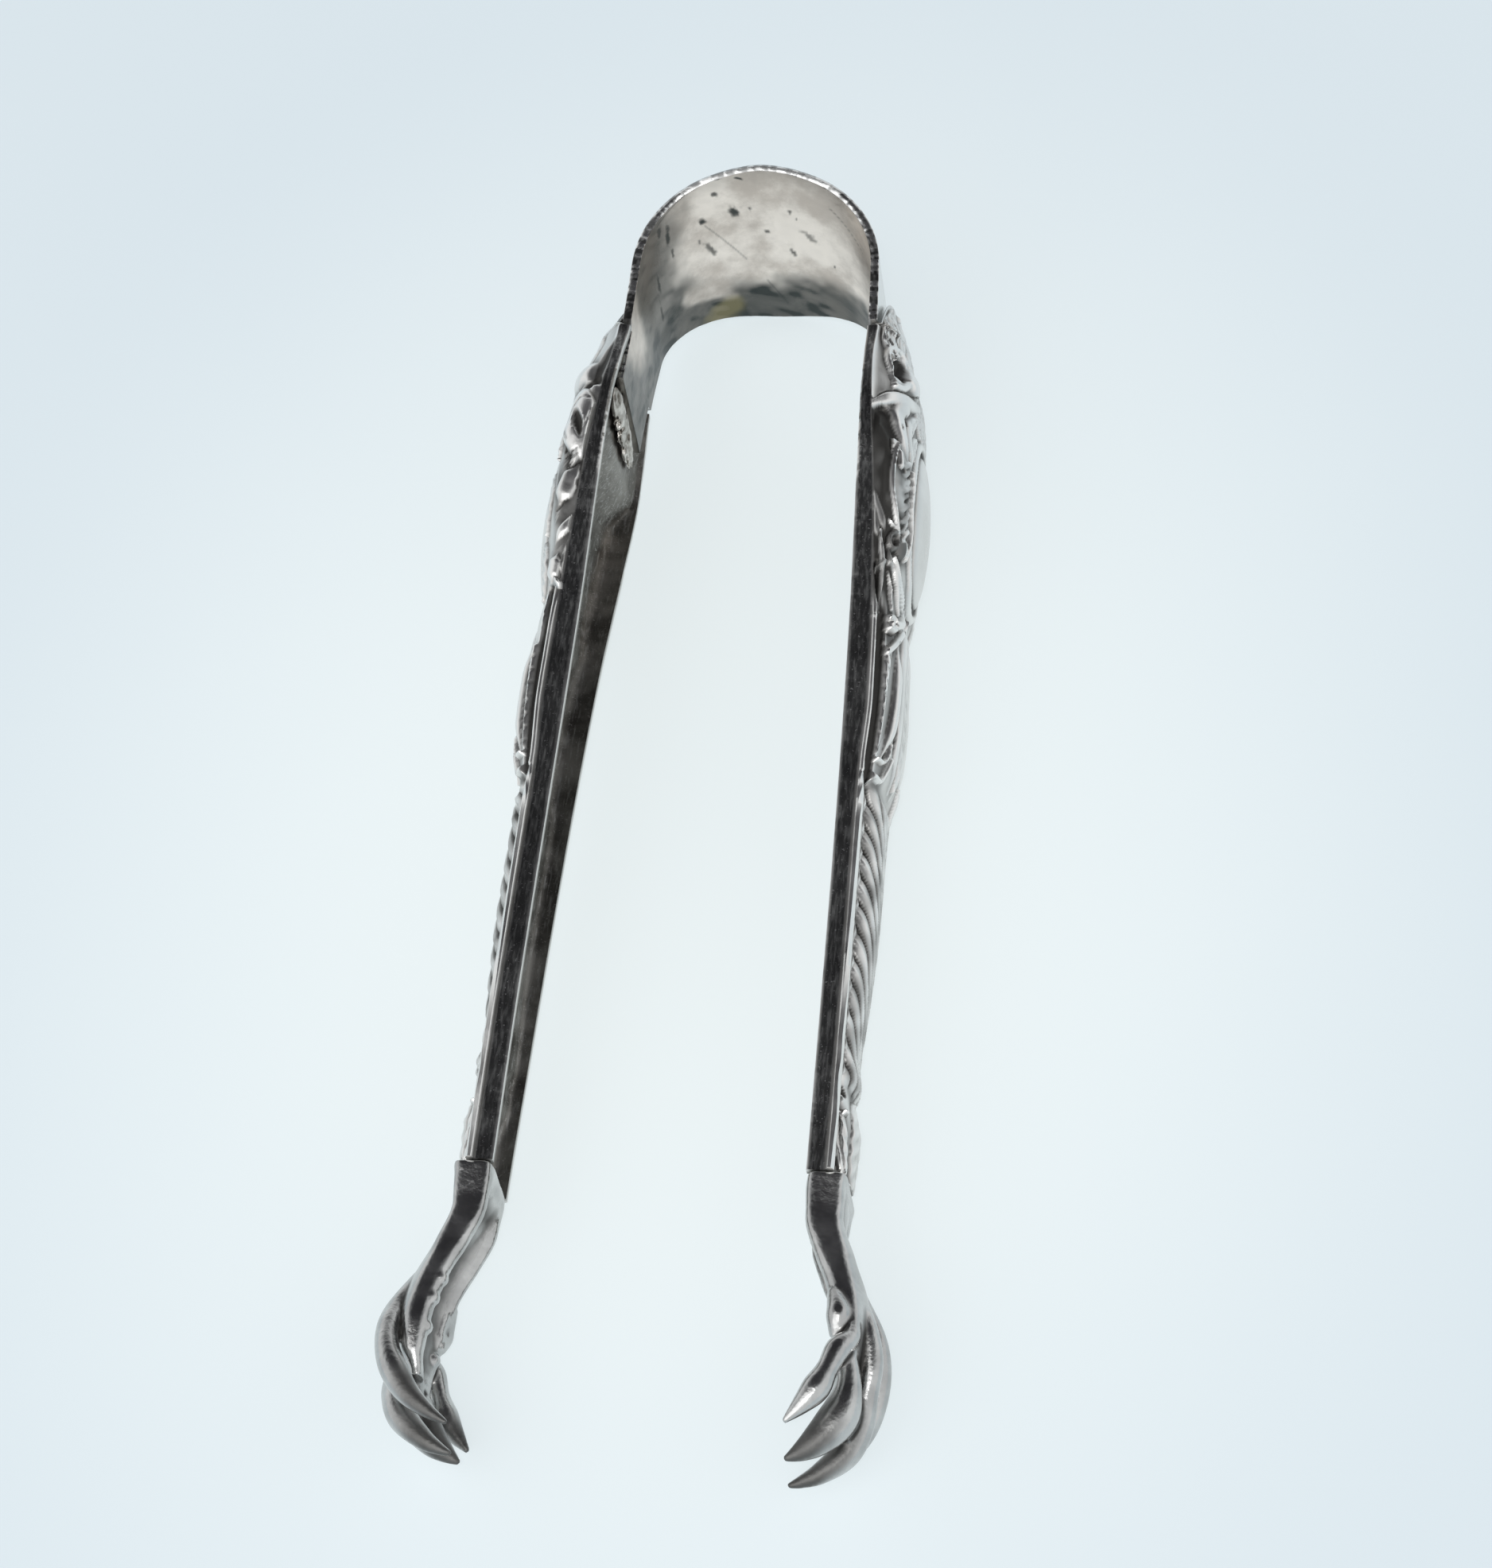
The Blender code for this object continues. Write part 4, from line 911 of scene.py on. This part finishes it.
def chased_silver():
    """Ornament silver: bright on worn tops, near black with tarnish in recesses and where shade is painted,
    brown-black on the walls and inside.
    """
    material, tree, shader = new_material("chased_silver")
    patina_and_shade = attribute(tree, "patina_and_shade")
    worn = attribute(tree, "worn")
    wall = attribute(tree, "side_wall")
    channel = attribute(tree, "channel")
    cloud = noise(tree, 260.0)
    fine = noise(tree, 2600.0, 3.0)
    scratch = noise(tree, 900.0, 2.0, 0.5, (3.0, 0.25, 3.0))
    silver = blend_colour(tree, cloud.between(0.35, 0.7), (0.62, 0.61, 0.59), (0.74, 0.735, 0.72))
    silver = blend_colour(tree, worn * 0.7, silver, (0.90, 0.89, 0.87))
    speck = noise(tree, 5200.0, 2.0)
    streak = noise(tree, 1300.0, 3.0, 0.6, (3.0, 0.4, 3.0))
    dark_wall = blend_colour(tree, streak.between(0.42, 0.75), (0.11, 0.11, 0.11), (0.36, 0.36, 0.355))
    dark_wall = blend_colour(tree, speck.between(0.64, 0.72) * 0.7, dark_wall, (0.7, 0.7, 0.7))
    brown = blend_colour(tree, cloud.between(0.3, 0.7), (0.10, 0.095, 0.085), (0.30, 0.29, 0.27))
    brown = blend_colour(tree, streak.between(0.5, 0.7) * 0.45, brown, (0.5, 0.5, 0.49))
    brown = blend_colour(tree, speck.between(0.62, 0.7) * 0.5, brown, (0.55, 0.54, 0.52))
    colour = blend_colour(tree, wall, silver, dark_wall)
    colour = blend_colour(tree, channel, colour, brown)
    colour = blend_colour(tree, patina_and_shade * 0.94, colour, TARNISH_AND_SHADE)
    rough = 0.27 + 0.1 * cloud.between(0.3, 0.75) + patina_and_shade * 0.3 + channel * 0.08 + wall * 0.05
    height = fine * 0.6 + scratch * 0.8 + cloud * 0.6
    feed(tree, shader, Base_Color=colour, Roughness=rough, Normal=bumped(tree, height, 0.00004))
    return material


def satin_silver():
    """Bow silver: worn satin with cloudy tarnish, grime and painted shade, dark spots, fine scratches and a
    file-marked rim whose marks are painted darker towards the flanks as shade.
    """
    material, tree, shader = new_material("satin_silver")
    spot = attribute(tree, "spot")
    rim = attribute(tree, "rim")
    inside = attribute(tree, "inside")
    grime_and_shade = attribute(tree, "grime_and_shade")
    yellow = attribute(tree, "yellow")
    cloud = noise(tree, 160.0, 6.0, 0.62)
    fine = noise(tree, 1800.0, 3.0)
    scratch = noise(tree, 700.0, 2.0, 0.5, (0.3, 3.0, 3.0))
    warm = blend_colour(tree, cloud.between(0.36, 0.62), (0.60, 0.53, 0.475), (0.95, 0.87, 0.80))
    pale = blend_colour(tree, cloud.between(0.3, 0.7), (0.72, 0.72, 0.71), (0.80, 0.80, 0.79))
    colour = blend_colour(tree, inside, pale, warm)
    # grime and painted shade, darkest towards the bottom of the inner face
    thick = grime_and_shade * (0.86 + 0.14 * cloud.between(0.4, 0.6))
    colour = blend_colour(tree, thick, colour, (0.055, 0.062, 0.06))
    colour = blend_colour(tree, yellow * 0.4, colour, (0.42, 0.36, 0.18))
    colour = blend_colour(tree, spot, colour, (0.05, 0.06, 0.06))
    colour = blend_colour(tree, rim, colour, (0.06, 0.06, 0.06))
    rough = 0.16 + inside * 0.16 + 0.1 * cloud.between(0.3, 0.7) + spot * 0.2 + rim * 0.2
    height = fine * 0.4 + scratch * 0.9 + cloud * 1.5
    feed(tree, shader, Base_Color=colour, Roughness=rough, Normal=bumped(tree, height, 0.00005))
    return material


def claw_silver():
    """Foot silver: glossier than the arms and painted darker than them as shade, black with tarnish and
    painted shade between the toes.
    """
    material, tree, shader = new_material("claw_silver")
    patina_and_shade = attribute(tree, "patina_and_shade")
    cloud = noise(tree, 420.0, 3.0)
    fine = noise(tree, 2400.0, 3.0)
    # painted shade: a darker silver than the arms'
    silver = blend_colour(tree, cloud.between(0.25, 0.75), (0.40, 0.40, 0.395), (0.58, 0.58, 0.57))
    colour = blend_colour(tree, patina_and_shade * 0.94, silver, TARNISH_AND_SHADE)
    rough = 0.2 + 0.06 * cloud.between(0.3, 0.75) + patina_and_shade * 0.3
    height = fine + cloud * 2.0
    feed(tree, shader, Base_Color=colour, Roughness=rough, Normal=bumped(tree, height, 0.00006))
    return material


def solder_silver():
    """Dull solder, clouded grey and pale."""
    material, tree, shader = new_material("silver_solder")
    cloud = noise(tree, 900.0, 4.0)
    colour = blend_colour(tree, cloud.between(0.35, 0.65), (0.34, 0.32, 0.29), (0.72, 0.70, 0.66))
    rough = 0.24 + 0.25 * cloud
    feed(tree, shader, Base_Color=colour, Roughness=rough, Normal=bumped(tree, cloud, 0.0001, 0.7))
    return material


# Tarnish inside the bow: place along the strip from the crown (plus to the right), height, the two half-axes,
# the turn of the long one from upright in degrees, darkness
SPOTS = (
    (-4.0, 9.5, 0.5, 0.14, 80, 0.8), (-2.0, 9.15, 0.62, 0.16, 60, 0.9), (-4.4, 7.6, 0.4, 0.28, 80, 0.85),
    (-2.9, 4.9, 0.75, 0.55, 30, 0.95), (-1.5, 5.0, 0.25, 0.22, 0, 0.9), (-5.9, 4.5, 0.42, 0.36, 0, 0.95),
    (-5.5, 0.6, 1.15, 0.34, 25, 0.75), (-6.5, 2.2, 0.3, 0.15, 0, 0.6), (2.05, 4.65, 0.28, 0.22, 0, 0.85),
    (2.6, 3.9, 0.15, 0.12, 0, 0.7), (-0.3, 1.9, 0.32, 0.24, 60, 0.9), (3.5, 1.7, 0.75, 0.4, 40, 0.6),
    (3.9, 1.1, 0.5, 0.25, 70, 0.6), (1.8, -0.9, 0.65, 0.22, 30, 0.85), (5.65, -1.7, 0.2, 0.17, 0, 0.75),
    (-9.5, 5.2, 1.3, 0.3, -8, 0.85), (-10.4, 6.6, 1.0, 0.3, -12, 0.7), (-9.3, 2.8, 0.8, 0.22, -5, 0.7),
    (-11.8, 1.0, 1.2, 0.2, 0, 0.7), (-12.2, -2.6, 1.4, 0.2, 0, 0.6), (-2.4, -6.2, 0.45, 0.35, 0, 0.6),
)
# fine scratches: from place and height, to place and height
SCRATCHES = ((-5.7, 3.9, -2.5, -1.7), (-1.0, -4.8, 0.5, -8.0), (-10.5, 7.5, -6.0, 9.2), (6.0, 6.5, 10.0, 3.5))


def bow_tarnish_and_shade(place, height):
    """Darkening inside the bow at places along the strip and heights: tarnish spots, grime with painted
    shade, a lighter patch in it, and a yellow patch.
    """
    spot = np.zeros_like(place)
    rough_edge = 1.0 + 0.45 * mottle(place, height, 51, 0.45) + 0.25 * mottle(place, height, 52, 0.2)
    for x, z, long, short, turn, dark in SPOTS:
        c, s = math.cos(math.radians(turn)), math.sin(math.radians(turn))
        dx, dz = place - x, height - z
        far = np.hypot((dz * c - dx * s) / long, (dz * s + dx * c) / short)
        spot = np.maximum(spot, dark * (1.0 - step(0.45, 1.2, far / rough_edge)))
    for x0, z0, x1, z1 in SCRATCHES:
        dx, dz = x1 - x0, z1 - z0
        share = np.clip(((place - x0) * dx + (height - z0) * dz) / (dx * dx + dz * dz), 0.0, 1.0)
        far = np.hypot(place - x0 - share * dx, height - z0 - share * dz)
        spot = np.maximum(spot, 0.4 * (1.0 - step(0.03, 0.13, far)))
    cloud = mottle(place, height, 55, 2.2) + 0.5 * mottle(place, height, 56, 0.8)
    # darker towards the bottom as the painted reflection of the bow's shadow, and darker towards both sides,
    # the top and the lapped end
    low = 1.0 - step(-6.6, -3.0, height + 0.9 * cloud - 1.5 * step(3.0, 9.0, -place))
    left = 1.0 - step(-11.0, -6.5, place + 1.2 * cloud)
    left *= 1.0 - 0.85 * step(16.5, 18.5, -place) * step(-2.5, 0.5, height + 0.8 * cloud)
    right = step(8.5, 12.0, place + 0.4 * cloud)
    crown = step(7.0, 10.0, height + 0.5 * cloud)
    lap = step(-2.0, 2.5, -place - 21.0 - 0.6 * height + 0.8 * cloud)
    streaks = 0.12 * mottle(0.5 * place, height + 0.4 * place, 57, 0.7)
    grime_and_shade = np.clip(0.95 * low + (0.75 * left + 0.3 * right + 0.25 * crown) * (1 - low) + lap, 0.0, 0.95)
    grime_and_shade = grime_and_shade * (1.0 + streaks) + 0.5 * np.abs(streaks)
    lighter_patch = 1.0 - step(0.5, 1.7, np.hypot((place + 6.6) / 1.8, (height + 4.9) / 1.2) + 0.8 * cloud)
    yellow = 1.0 - step(0.8, 2.0, np.hypot((place + 5.2) / 1.3, height + 8.0) + 0.5 * cloud)
    return {"spot": spot, "grime_and_shade": grime_and_shade * (1.0 - 0.75 * lighter_patch), "yellow": yellow}


def make_bow_half(side, material):
    """Half of the bow: rounded strip lofted from the crown to its lapped end, closed at both.

    The rim is rounded, most at the crown, and carries file marks across it; the inner face is gently uneven.
    """
    lap_rows = np.linspace(WAIST + LAP_STEP, BOW_END, 30)
    rows = np.concatenate([np.arange(0.0, WAIST, BOW_STATION), [WAIST], lap_rows])
    s = rows[:, None]
    half = bow_half_width(rows)[:, None]
    across = np.sin(np.linspace(-math.pi / 2, math.pi / 2, BOW_COLUMNS))[None, :]
    ticks = wobble(side * s, 31, 0.26)
    files = 0.022 * ticks + 0.016 * wobble(side * s, 33, 0.6)
    nick = np.clip(wobble(side * s, 35, 0.45) - 0.5, 0.0, 1.0) * 0.08
    slope = 0.2 - 0.12 * step(6.0, 13.0, s)
    inner_z = (half - 0.05 - slope - nick) * across
    place = side * s + 0 * across
    dish = 0.03 * mottle(place, inner_z, 41, 3.5) + 0.012 * mottle(place, inner_z, 43, 1.2)
    inner_offset = 0.03 + dish * (1.0 - np.abs(across) ** 8)
    outer_z = (half - slope - 0.06) * across[:, ::-1]
    rim_share = np.array(RIM_SHARES)[None, :]
    rim_z = half - 0.02 - slope * np.abs(2.0 * rim_share - 1.0) ** 1.2 + files
    rim_offset = STRIP_THICKNESS * rim_share + 0 * rim_z
    z = np.concatenate([inner_z, rim_z, outer_z, -rim_z[:, ::-1]], 1)
    offset = np.concatenate([inner_offset, rim_offset, STRIP_THICKNESS + 0 * outer_z, rim_offset[:, ::-1]], 1)
    rings = in_section(s + 0 * z, offset, z)
    rings[..., 0] = np.where(s + 0 * z == 0.0, 0.0, rings[..., 0])
    rings[..., 2] *= side
    mesh = tube_mesh(f"spring_bow_{SIDES[side]}", laid_down(rings, side))
    keep_above_floor(mesh)
    speckle = mottle(side * s + 0 * rim_z, 6.0 * rim_share + 0 * rim_z, 45, 0.35)
    # dark file marks on the rim; painted shade makes them darker towards the flanks
    tick = np.clip(0.5 - 1.1 * ticks + 0.8 * speckle, 0.0, 1.0) * (0.68 + 0.32 * step(7.0, 13.0, s))
    finish_and_shade = bow_tarnish_and_shade(place, inner_z)
    finish_and_shade["rim"] = 0 * inner_z
    finish_and_shade["inside"] = 1 + 0 * inner_z
    for name, values in finish_and_shade.items():
        edge = tick if name == "rim" else 0 * tick
        give(mesh, name, np.concatenate([values, edge, 0 * outer_z, edge], 1))
    piece = new_piece(mesh, material)
    middle = (0.0, -STRIP_THICKNESS / 2, 0.0)
    start, end = laid_down(np.array([middle, track(WAIST)[:2] + (0.0,)]), side)
    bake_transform(piece)
    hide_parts("spring_bow")


def make_arm(side, rings, finish_and_shade, material):
    """Arm: the same rings for both sides, laid down, with the finish and painted shade of each vertex."""
    word = SIDES[side]
    mesh = tube_mesh(f"{word}_arm_chased", laid_down(rings, side))
    keep_above_floor(mesh)
    for name, values in finish_and_shade.items():
        give(mesh, name, values)
    piece = new_piece(mesh, material)
    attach(piece, f"{word}_side")
    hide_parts(f"{word}_arm")


# Toes and sinews of the right claw in the tongs' frame: x, y, z, radius
CLAW_STRANDS = (
    ((17, -108.8, 2.8, 0.5), (16.9, -110.3, 3.2, 0.75), (16.1, -111.5, 3.7, 0.95), (15.5, -113.2, 3.9, 0.85),
     (14.8, -114.9, 4, 1.1), (13.8, -116.3, 3.95, 0.75), (12.6, -117.7, 3.85, 0.2)),
    ((15.6, -107, 2.2, 0.5), (16.4, -110.6, 2.4, 0.8), (16.9, -113.4, 2, 1), (16.6, -115.4, 1.6, 1.45),
     (15.9, -116.8, 1.5, 1.5), (14.8, -118.1, 1.5, 1.2), (13.7, -119, 1.5, 0.75), (12.6, -119.7, 1.6, 0.2)),
    ((15.2, -106.2, 2.7, 0.5), (15.7, -107.8, 3.1, 0.85), (15.8, -108.7, 3.1, 0.9), (15.7, -110, 2.5, 0.5)),
    ((16.4, -104.8, 1.2, 0.5), (17.8, -108.3, 1.3, 0.75), (18.4, -111, 0.8, 0.85), (18.1, -113.4, 0, 0.9),
     (17.6, -115.6, -1, 1.15), (16.7, -117.6, -1.5, 1.15), (15, -119.2, -1.6, 0.85), (13.6, -120, -1.6, 0.5),
     (12.6, -120.4, -1.6, 0.2)),
    ((16.8, -104.8, -1, 0.5), (18.2, -108, -1.6, 0.8), (18.6, -110.3, -2.6, 0.9), (18.3, -112.6, -3.5, 0.95),
     (17.4, -114.7, -3.95, 1.1), (16.1, -116.6, -4, 0.95), (14.4, -118, -4, 0.6), (12.7, -119, -4, 0.2)),
    ((16.9, -106.5, 0.2, 0.5), (17.5, -109.5, 0, 0.9), (17.2, -112.5, -0.4, 1.1), (16.8, -115.5, 0.3, 1.1),
     (16.4, -117.2, 0.2, 0.7)),
)
# stations of the palm: run from the ankle, outward offset of its middle, half-thickness, half-height, hollow
CLAW_PALM = ((0, 1.6, 1.6, 3.6, 0.5), (1.2, 1.5, 1.55, 3.45, 0.5), (3.2, 1.5, 1.45, 3.2, 0.55),
             (6.5, 2.5, 1.6, 3.1, 0.6), (9.8, 3.7, 1.6, 3.2, 0.6), (13, 4.2, 1.4, 3.4, 0.5),
             (15.6, 4.2, 1.1, 3, 0.4), (17.6, 3.7, 0.6, 2.2, 0.2))
# beads along the palm's inner edges: run, offset, height, radius
CLAW_BEADS = ((10.6, 3.3, 2.6, 0.7), (12.4, 3.6, 2.4, 0.75), (14.4, 3.6, 2.1, 0.65),
              (9.6, 2.9, -2.4, 0.7), (11.3, 3.3, -2.5, 0.7), (13.7, 3.5, -2.3, 0.65))
# heights of a bead's rings as shares of its radius
BEAD_LEVELS = np.array([-0.98, -0.7, -0.25, 0.25, 0.7, 0.98])


def round_rings(path, columns=24):
    """Round rings along a smooth path of (x, y, z, radius)."""
    line = curve_through(path, 14)
    centre, radius = line[:, :3], np.maximum(line[:, 3:], 0.06)
    along = np.gradient(centre, axis=0)
    along /= np.linalg.norm(along, axis=1, keepdims=True)
    side = np.cross(along, [0.0, 0.0, 1.0])
    side /= np.linalg.norm(side, axis=1, keepdims=True)
    up = np.cross(side, along)
    turn = np.linspace(0.0, 2 * math.pi, columns, endpoint=False)
    ring = np.cos(turn)[None, :, None] * side[:, None] + np.sin(turn)[None, :, None] * up[:, None]
    return centre[:, None] + radius[:, None] * ring


def palm_rings():
    """Rings of the palm: a boxy oval, hollowed on the side that faces inwards."""
    runs = np.linspace(0.0, CLAW_PALM[-1][0], 80)
    run, *columns = np.array(CLAW_PALM).T
    middle, thick, high, hollow = (smooth(np.stack([run, column], 1), runs)[:, None] for column in columns)
    turn = np.linspace(0.0, 2 * math.pi, 72, endpoint=False)[None, :]
    cos, sin = np.cos(turn), np.sin(turn)
    power = 0.3 + 0.4 * step(2.0, 10.0, runs)[:, None]
    offset = np.sign(cos) * np.abs(cos) ** power * thick
    z = np.sign(sin) * np.abs(sin) ** power * high
    inwards = np.clip(-cos, 0.0, 1.0)
    dip = hollow * 2.0 * thick * inwards ** 0.5 * np.clip(1.0 - (z / (0.72 * high)) ** 2, 0.0, 1.0)
    folds = 0.16 * np.cos(5.0 * z / high * 1.3 + 0.35 * runs[:, None]) * np.clip(cos, 0.0, 1.0)
    share = step(0.5, 3.0, runs)[:, None]
    down = 0.06 + runs[:, None] * (1.0 + 0.24 / runs[-1])
    return from_ankle(down, middle + offset + (dip + folds) * share, z)


def bead_rings(run, offset, z, radius):
    """Rings of a small ball in the palm, one above the other."""
    centre = from_ankle(np.float64(FIT_GAP + run), np.float64(offset), z)
    turn = np.linspace(0.0, 2 * math.pi, 20, endpoint=False)
    disc = np.stack([np.cos(turn), np.sin(turn), 0 * turn], -1)
    lift = np.outer(radius * BEAD_LEVELS, [0.0, 0.0, 1.0])
    size = radius * np.sqrt(1.0 - BEAD_LEVELS ** 2)
    return centre + lift[:, None] + size[:, None, None] * disc[None]


def fused(name, parts, voxel, rounds):
    """One closed mesh from overlapping closed parts: remeshed evenly and smoothed a few rounds."""
    work = bmesh.new()
    for rings in parts:
        part = tube_mesh("part", rings)
        work.from_mesh(part)
        bpy.data.meshes.remove(part)
    mesh = bpy.data.meshes.new("overlapping")
    work.to_mesh(mesh)
    work.free()
    obj = bpy.data.objects.new("overlapping", mesh)
    bpy.context.scene.collection.objects.link(obj)
    remesh = obj.modifiers.new("even", "REMESH")
    remesh.mode = "VOXEL"
    remesh.voxel_size = voxel
    remesh.use_smooth_shade = True
    even = obj.modifiers.new("soften", "SMOOTH")
    even.factor = 0.5
    even.iterations = rounds
    graph = bpy.context.evaluated_depsgraph_get()
    result = bpy.data.meshes.new_from_object(obj.evaluated_get(graph))
    bpy.data.objects.remove(obj)
    bpy.data.meshes.remove(mesh)
    result.name = name
    return result


def hollows(mesh, rounds):
    """How far each vertex lies inside its smoothed surroundings, along its normal, in metres."""
    points, normals = at_vertices(mesh, "co"), at_vertices(mesh, "normal")
    edges = np.zeros(2 * len(mesh.edges), int)
    mesh.edges.foreach_get("vertices", edges)
    edges = edges.reshape(-1, 2)
    count = np.bincount(edges.ravel(), minlength=len(points))[:, None]
    soft = points
    for _ in range(rounds):
        total = np.zeros_like(soft)
        np.add.at(total, edges[:, 0], soft[edges[:, 1]])
        np.add.at(total, edges[:, 1], soft[edges[:, 0]])
        soft = total / np.maximum(count, 1)
    return ((soft - points) * normals).sum(1)


def talon_shade(mesh, side):
    """Painted shade on the talons, on the faces that look inwards and towards their tips."""
    points, normals = at_vertices(mesh, "co"), at_vertices(mesh, "normal")
    talons = 1.0 - step(-0.056, -0.0535, points[:, 1])
    if side > 0:
        talons *= 1.0 - step(0.0072, 0.008, points[:, 2])
    return 0.85 * talons * step(0.1, 0.6, normals @ np.array([-0.65 * side, -0.65, 0.4]))


def make_claw(side, material):
    """Claw: hollow palm, sinews that run into four toes with talons, and beads along the palm's edges."""
    word = SIDES[side]
    parts = [palm_rings()]
    parts += [round_rings(path) for path in CLAW_STRANDS]
    parts += [bead_rings(*bead) for bead in CLAW_BEADS]
    mesh = fused(f"{word}_claw_cast", [laid_down(rings, side) for rings in parts], CLAW_VOXEL * MM, 4)
    keep_above_floor(mesh)
    near, wide = hollows(mesh, 30) / (0.1 * MM), hollows(mesh, 160) / (0.3 * MM)
    # tarnish in the hollows, and painted shade on the talons
    patina_and_shade = np.maximum(np.maximum(near, wide), talon_shade(mesh, side))
    give(mesh, "patina_and_shade", np.clip(patina_and_shade, 0.0, 1.0))
    piece = new_piece(mesh, material, 180.0)
    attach(piece, f"{word}_side")
    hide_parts(f"{word}_claw")


def make_solder(side, material):
    """Ragged bead of solder in the channel, along the end of the bow's strip, with one smooth blob."""
    t = np.linspace(-0.995, 0.995, 90)[:, None]
    turn = np.linspace(0.0, 2 * math.pi, 48, endpoint=False)[None, :]
    size = (1.0 - t ** 2) ** 0.4
    lumps = 0.9 + 0.4 * mottle(7 * t + 0 * turn, 2.0 * np.cos(turn) + 0 * t, 61, 1.0)
    lumps += 0.3 * mottle(17 * t + 0 * turn, 4 * np.sin(turn) + 0 * t, 62, 1.0)
    blob = np.exp(-((t + 0.72) / 0.13) ** 2)
    s = BOW_END + 1.45 + 1.3 * np.cos(turn) * size * np.clip(lumps + 0.4 * blob, 0.35, 1.08)
    offset = 0.62 + 0.5 * np.sin(turn) * size * (np.clip(lumps, 0.5, 1.08) * (1.0 - blob) + 1.4 * blob)
    rings = in_section(s, offset, 5.4 * t + 0 * turn)
    word = SIDES[side]
    mesh = tube_mesh(f"{word}_solder_ragged", laid_down(rings, side))
    piece = new_piece(mesh, material, 60.0)
    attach(piece, f"{word}_side")
    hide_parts(f"{word}_shoulder_solder")


def make_camera():
    """Camera at the photograph's place and angle, with the photograph's field of view."""
    turn = LAY_DOWN.to_3x3() @ Matrix(CAMERA_ROWS).transposed() @ Matrix.Diagonal((1.0, -1.0, -1.0))
    data = bpy.data.cameras.new("camera")
    data.sensor_fit = "VERTICAL"
    data.sensor_height = SENSOR_HEIGHT
    data.lens = FOCAL_LENGTH_PX * SENSOR_HEIGHT / PHOTO_HEIGHT_PX
    data.clip_start = 0.01
    camera = bpy.data.objects.new("camera", data)
    place = LAY_DOWN.to_3x3() @ (Vector(CAMERA_PLACE) * MM) + PLACE
    camera.matrix_world = Matrix.Translation(place) @ turn.to_4x4()
    bpy.context.scene.collection.objects.link(camera)
    bpy.context.scene.camera = camera


def area_lamp(name, place, size, watts):
    """Square lamp at a place, turned towards the tongs."""
    data = bpy.data.lights.new(name, "AREA")
    data.size = size
    data.energy = watts
    lamp = bpy.data.objects.new(name, data)
    lamp.location = place
    lamp.rotation_euler = (-Vector(place)).to_track_quat("-Z", "Y").to_euler()
    bpy.context.scene.collection.objects.link(lamp)


def make_floor():
    """Pale floor, which the camera and the silver see mostly as a plain glow, brightest round the tongs."""
    reach = 3.0
    corners = [(-reach, -reach, 0), (reach, -reach, 0), (reach, reach, 0), (-reach, reach, 0)]
    mesh = bpy.data.meshes.new("floor")
    mesh.from_pydata(corners, [], [(0, 1, 2, 3)])
    floor = bpy.data.objects.new("floor", mesh)
    bpy.context.scene.collection.objects.link(floor)
    material, tree, shader = new_material("pale_floor", 0.0)
    cloud = noise(tree, 9.0, 3.0)
    colour = blend_colour(tree, cloud.between(0.3, 0.7), (0.76, 0.85, 0.91), (0.81, 0.89, 0.94))
    feed(tree, shader, Base_Color=colour, Roughness=0.9)
    place = node(tree, "ShaderNodeTexCoord", None, (), "Object")
    place = node(tree, "ShaderNodeMapping", None, {"Vector": place, "Scale": (14.0, 10.0, 1.0)})
    far = node(tree, "ShaderNodeVectorMath", {"operation": "LENGTH"}, (place,), "Value")
    bright = blend_colour(tree, far.between(0.2, 1.15), (0.93, 1.0, 1.0), (0.72, 0.81, 0.86))
    plain = node(tree, "ShaderNodeEmission", None, {"Color": bright}, "Emission")
    seen = node(tree, "ShaderNodeLightPath", None, (), "Is Camera Ray")
    for ray in ("Is Glossy Ray", "Is Transmission Ray"):
        seen = seen.math("MAXIMUM", seen, node(tree, "ShaderNodeLightPath", None, (), ray))
    lit = Sock(tree, shader.outputs[0])
    mixed = node(tree, "ShaderNodeMixShader", None, {0: seen * 0.7, 1: lit, 2: plain})
    tree.links.new(mixed.socket, tree.nodes["Material Output"].inputs["Surface"])
    mesh.materials.append(material)


def make_world():
    """Pale room with a dark patch high up beyond the bow, which the upright sides mirror."""
    world = bpy.data.worlds.new("studio")
    bpy.context.scene.world = world
    world.use_nodes = True
    tree = world.node_tree
    direction = node(tree, "ShaderNodeTexCoord", None, (), "Generated")
    patch = {0: direction, 1: (0.0, 0.5, 0.866)}
    facing = node(tree, "ShaderNodeVectorMath", {"operation": "DOT_PRODUCT"}, patch, "Value")
    colour = blend_colour(tree, facing.between(0.55, 0.92), (0.91, 0.93, 0.94), (0.04, 0.04, 0.045))
    tree.links.new(colour.socket, tree.nodes["Background"].inputs["Color"])


def main():
    """Builds the camera, the floor, the lights and the pieces of both sides."""
    bpy.context.scene.view_settings.view_transform = "Standard"
    make_camera()
    make_floor()
    make_world()
    area_lamp("soft_key", (-0.18, -0.42, 0.55), 0.8, 2.0)
    area_lamp("flash", (0.06, -0.27, 0.42), 0.03, 0.35)

    bow_metal, arm_metal = satin_silver(), chased_silver()
    foot_metal, solder_metal = claw_silver(), solder_silver()
    rings, finish_and_shade = arm_rings(arm_places())
    for side in SIDES:
        make_bow_half(side, bow_metal)
        make_arm(side, rings, finish_and_shade, arm_metal)
    for side in SIDES:
        make_claw(side, foot_metal)
        make_solder(side, solder_metal)


main()
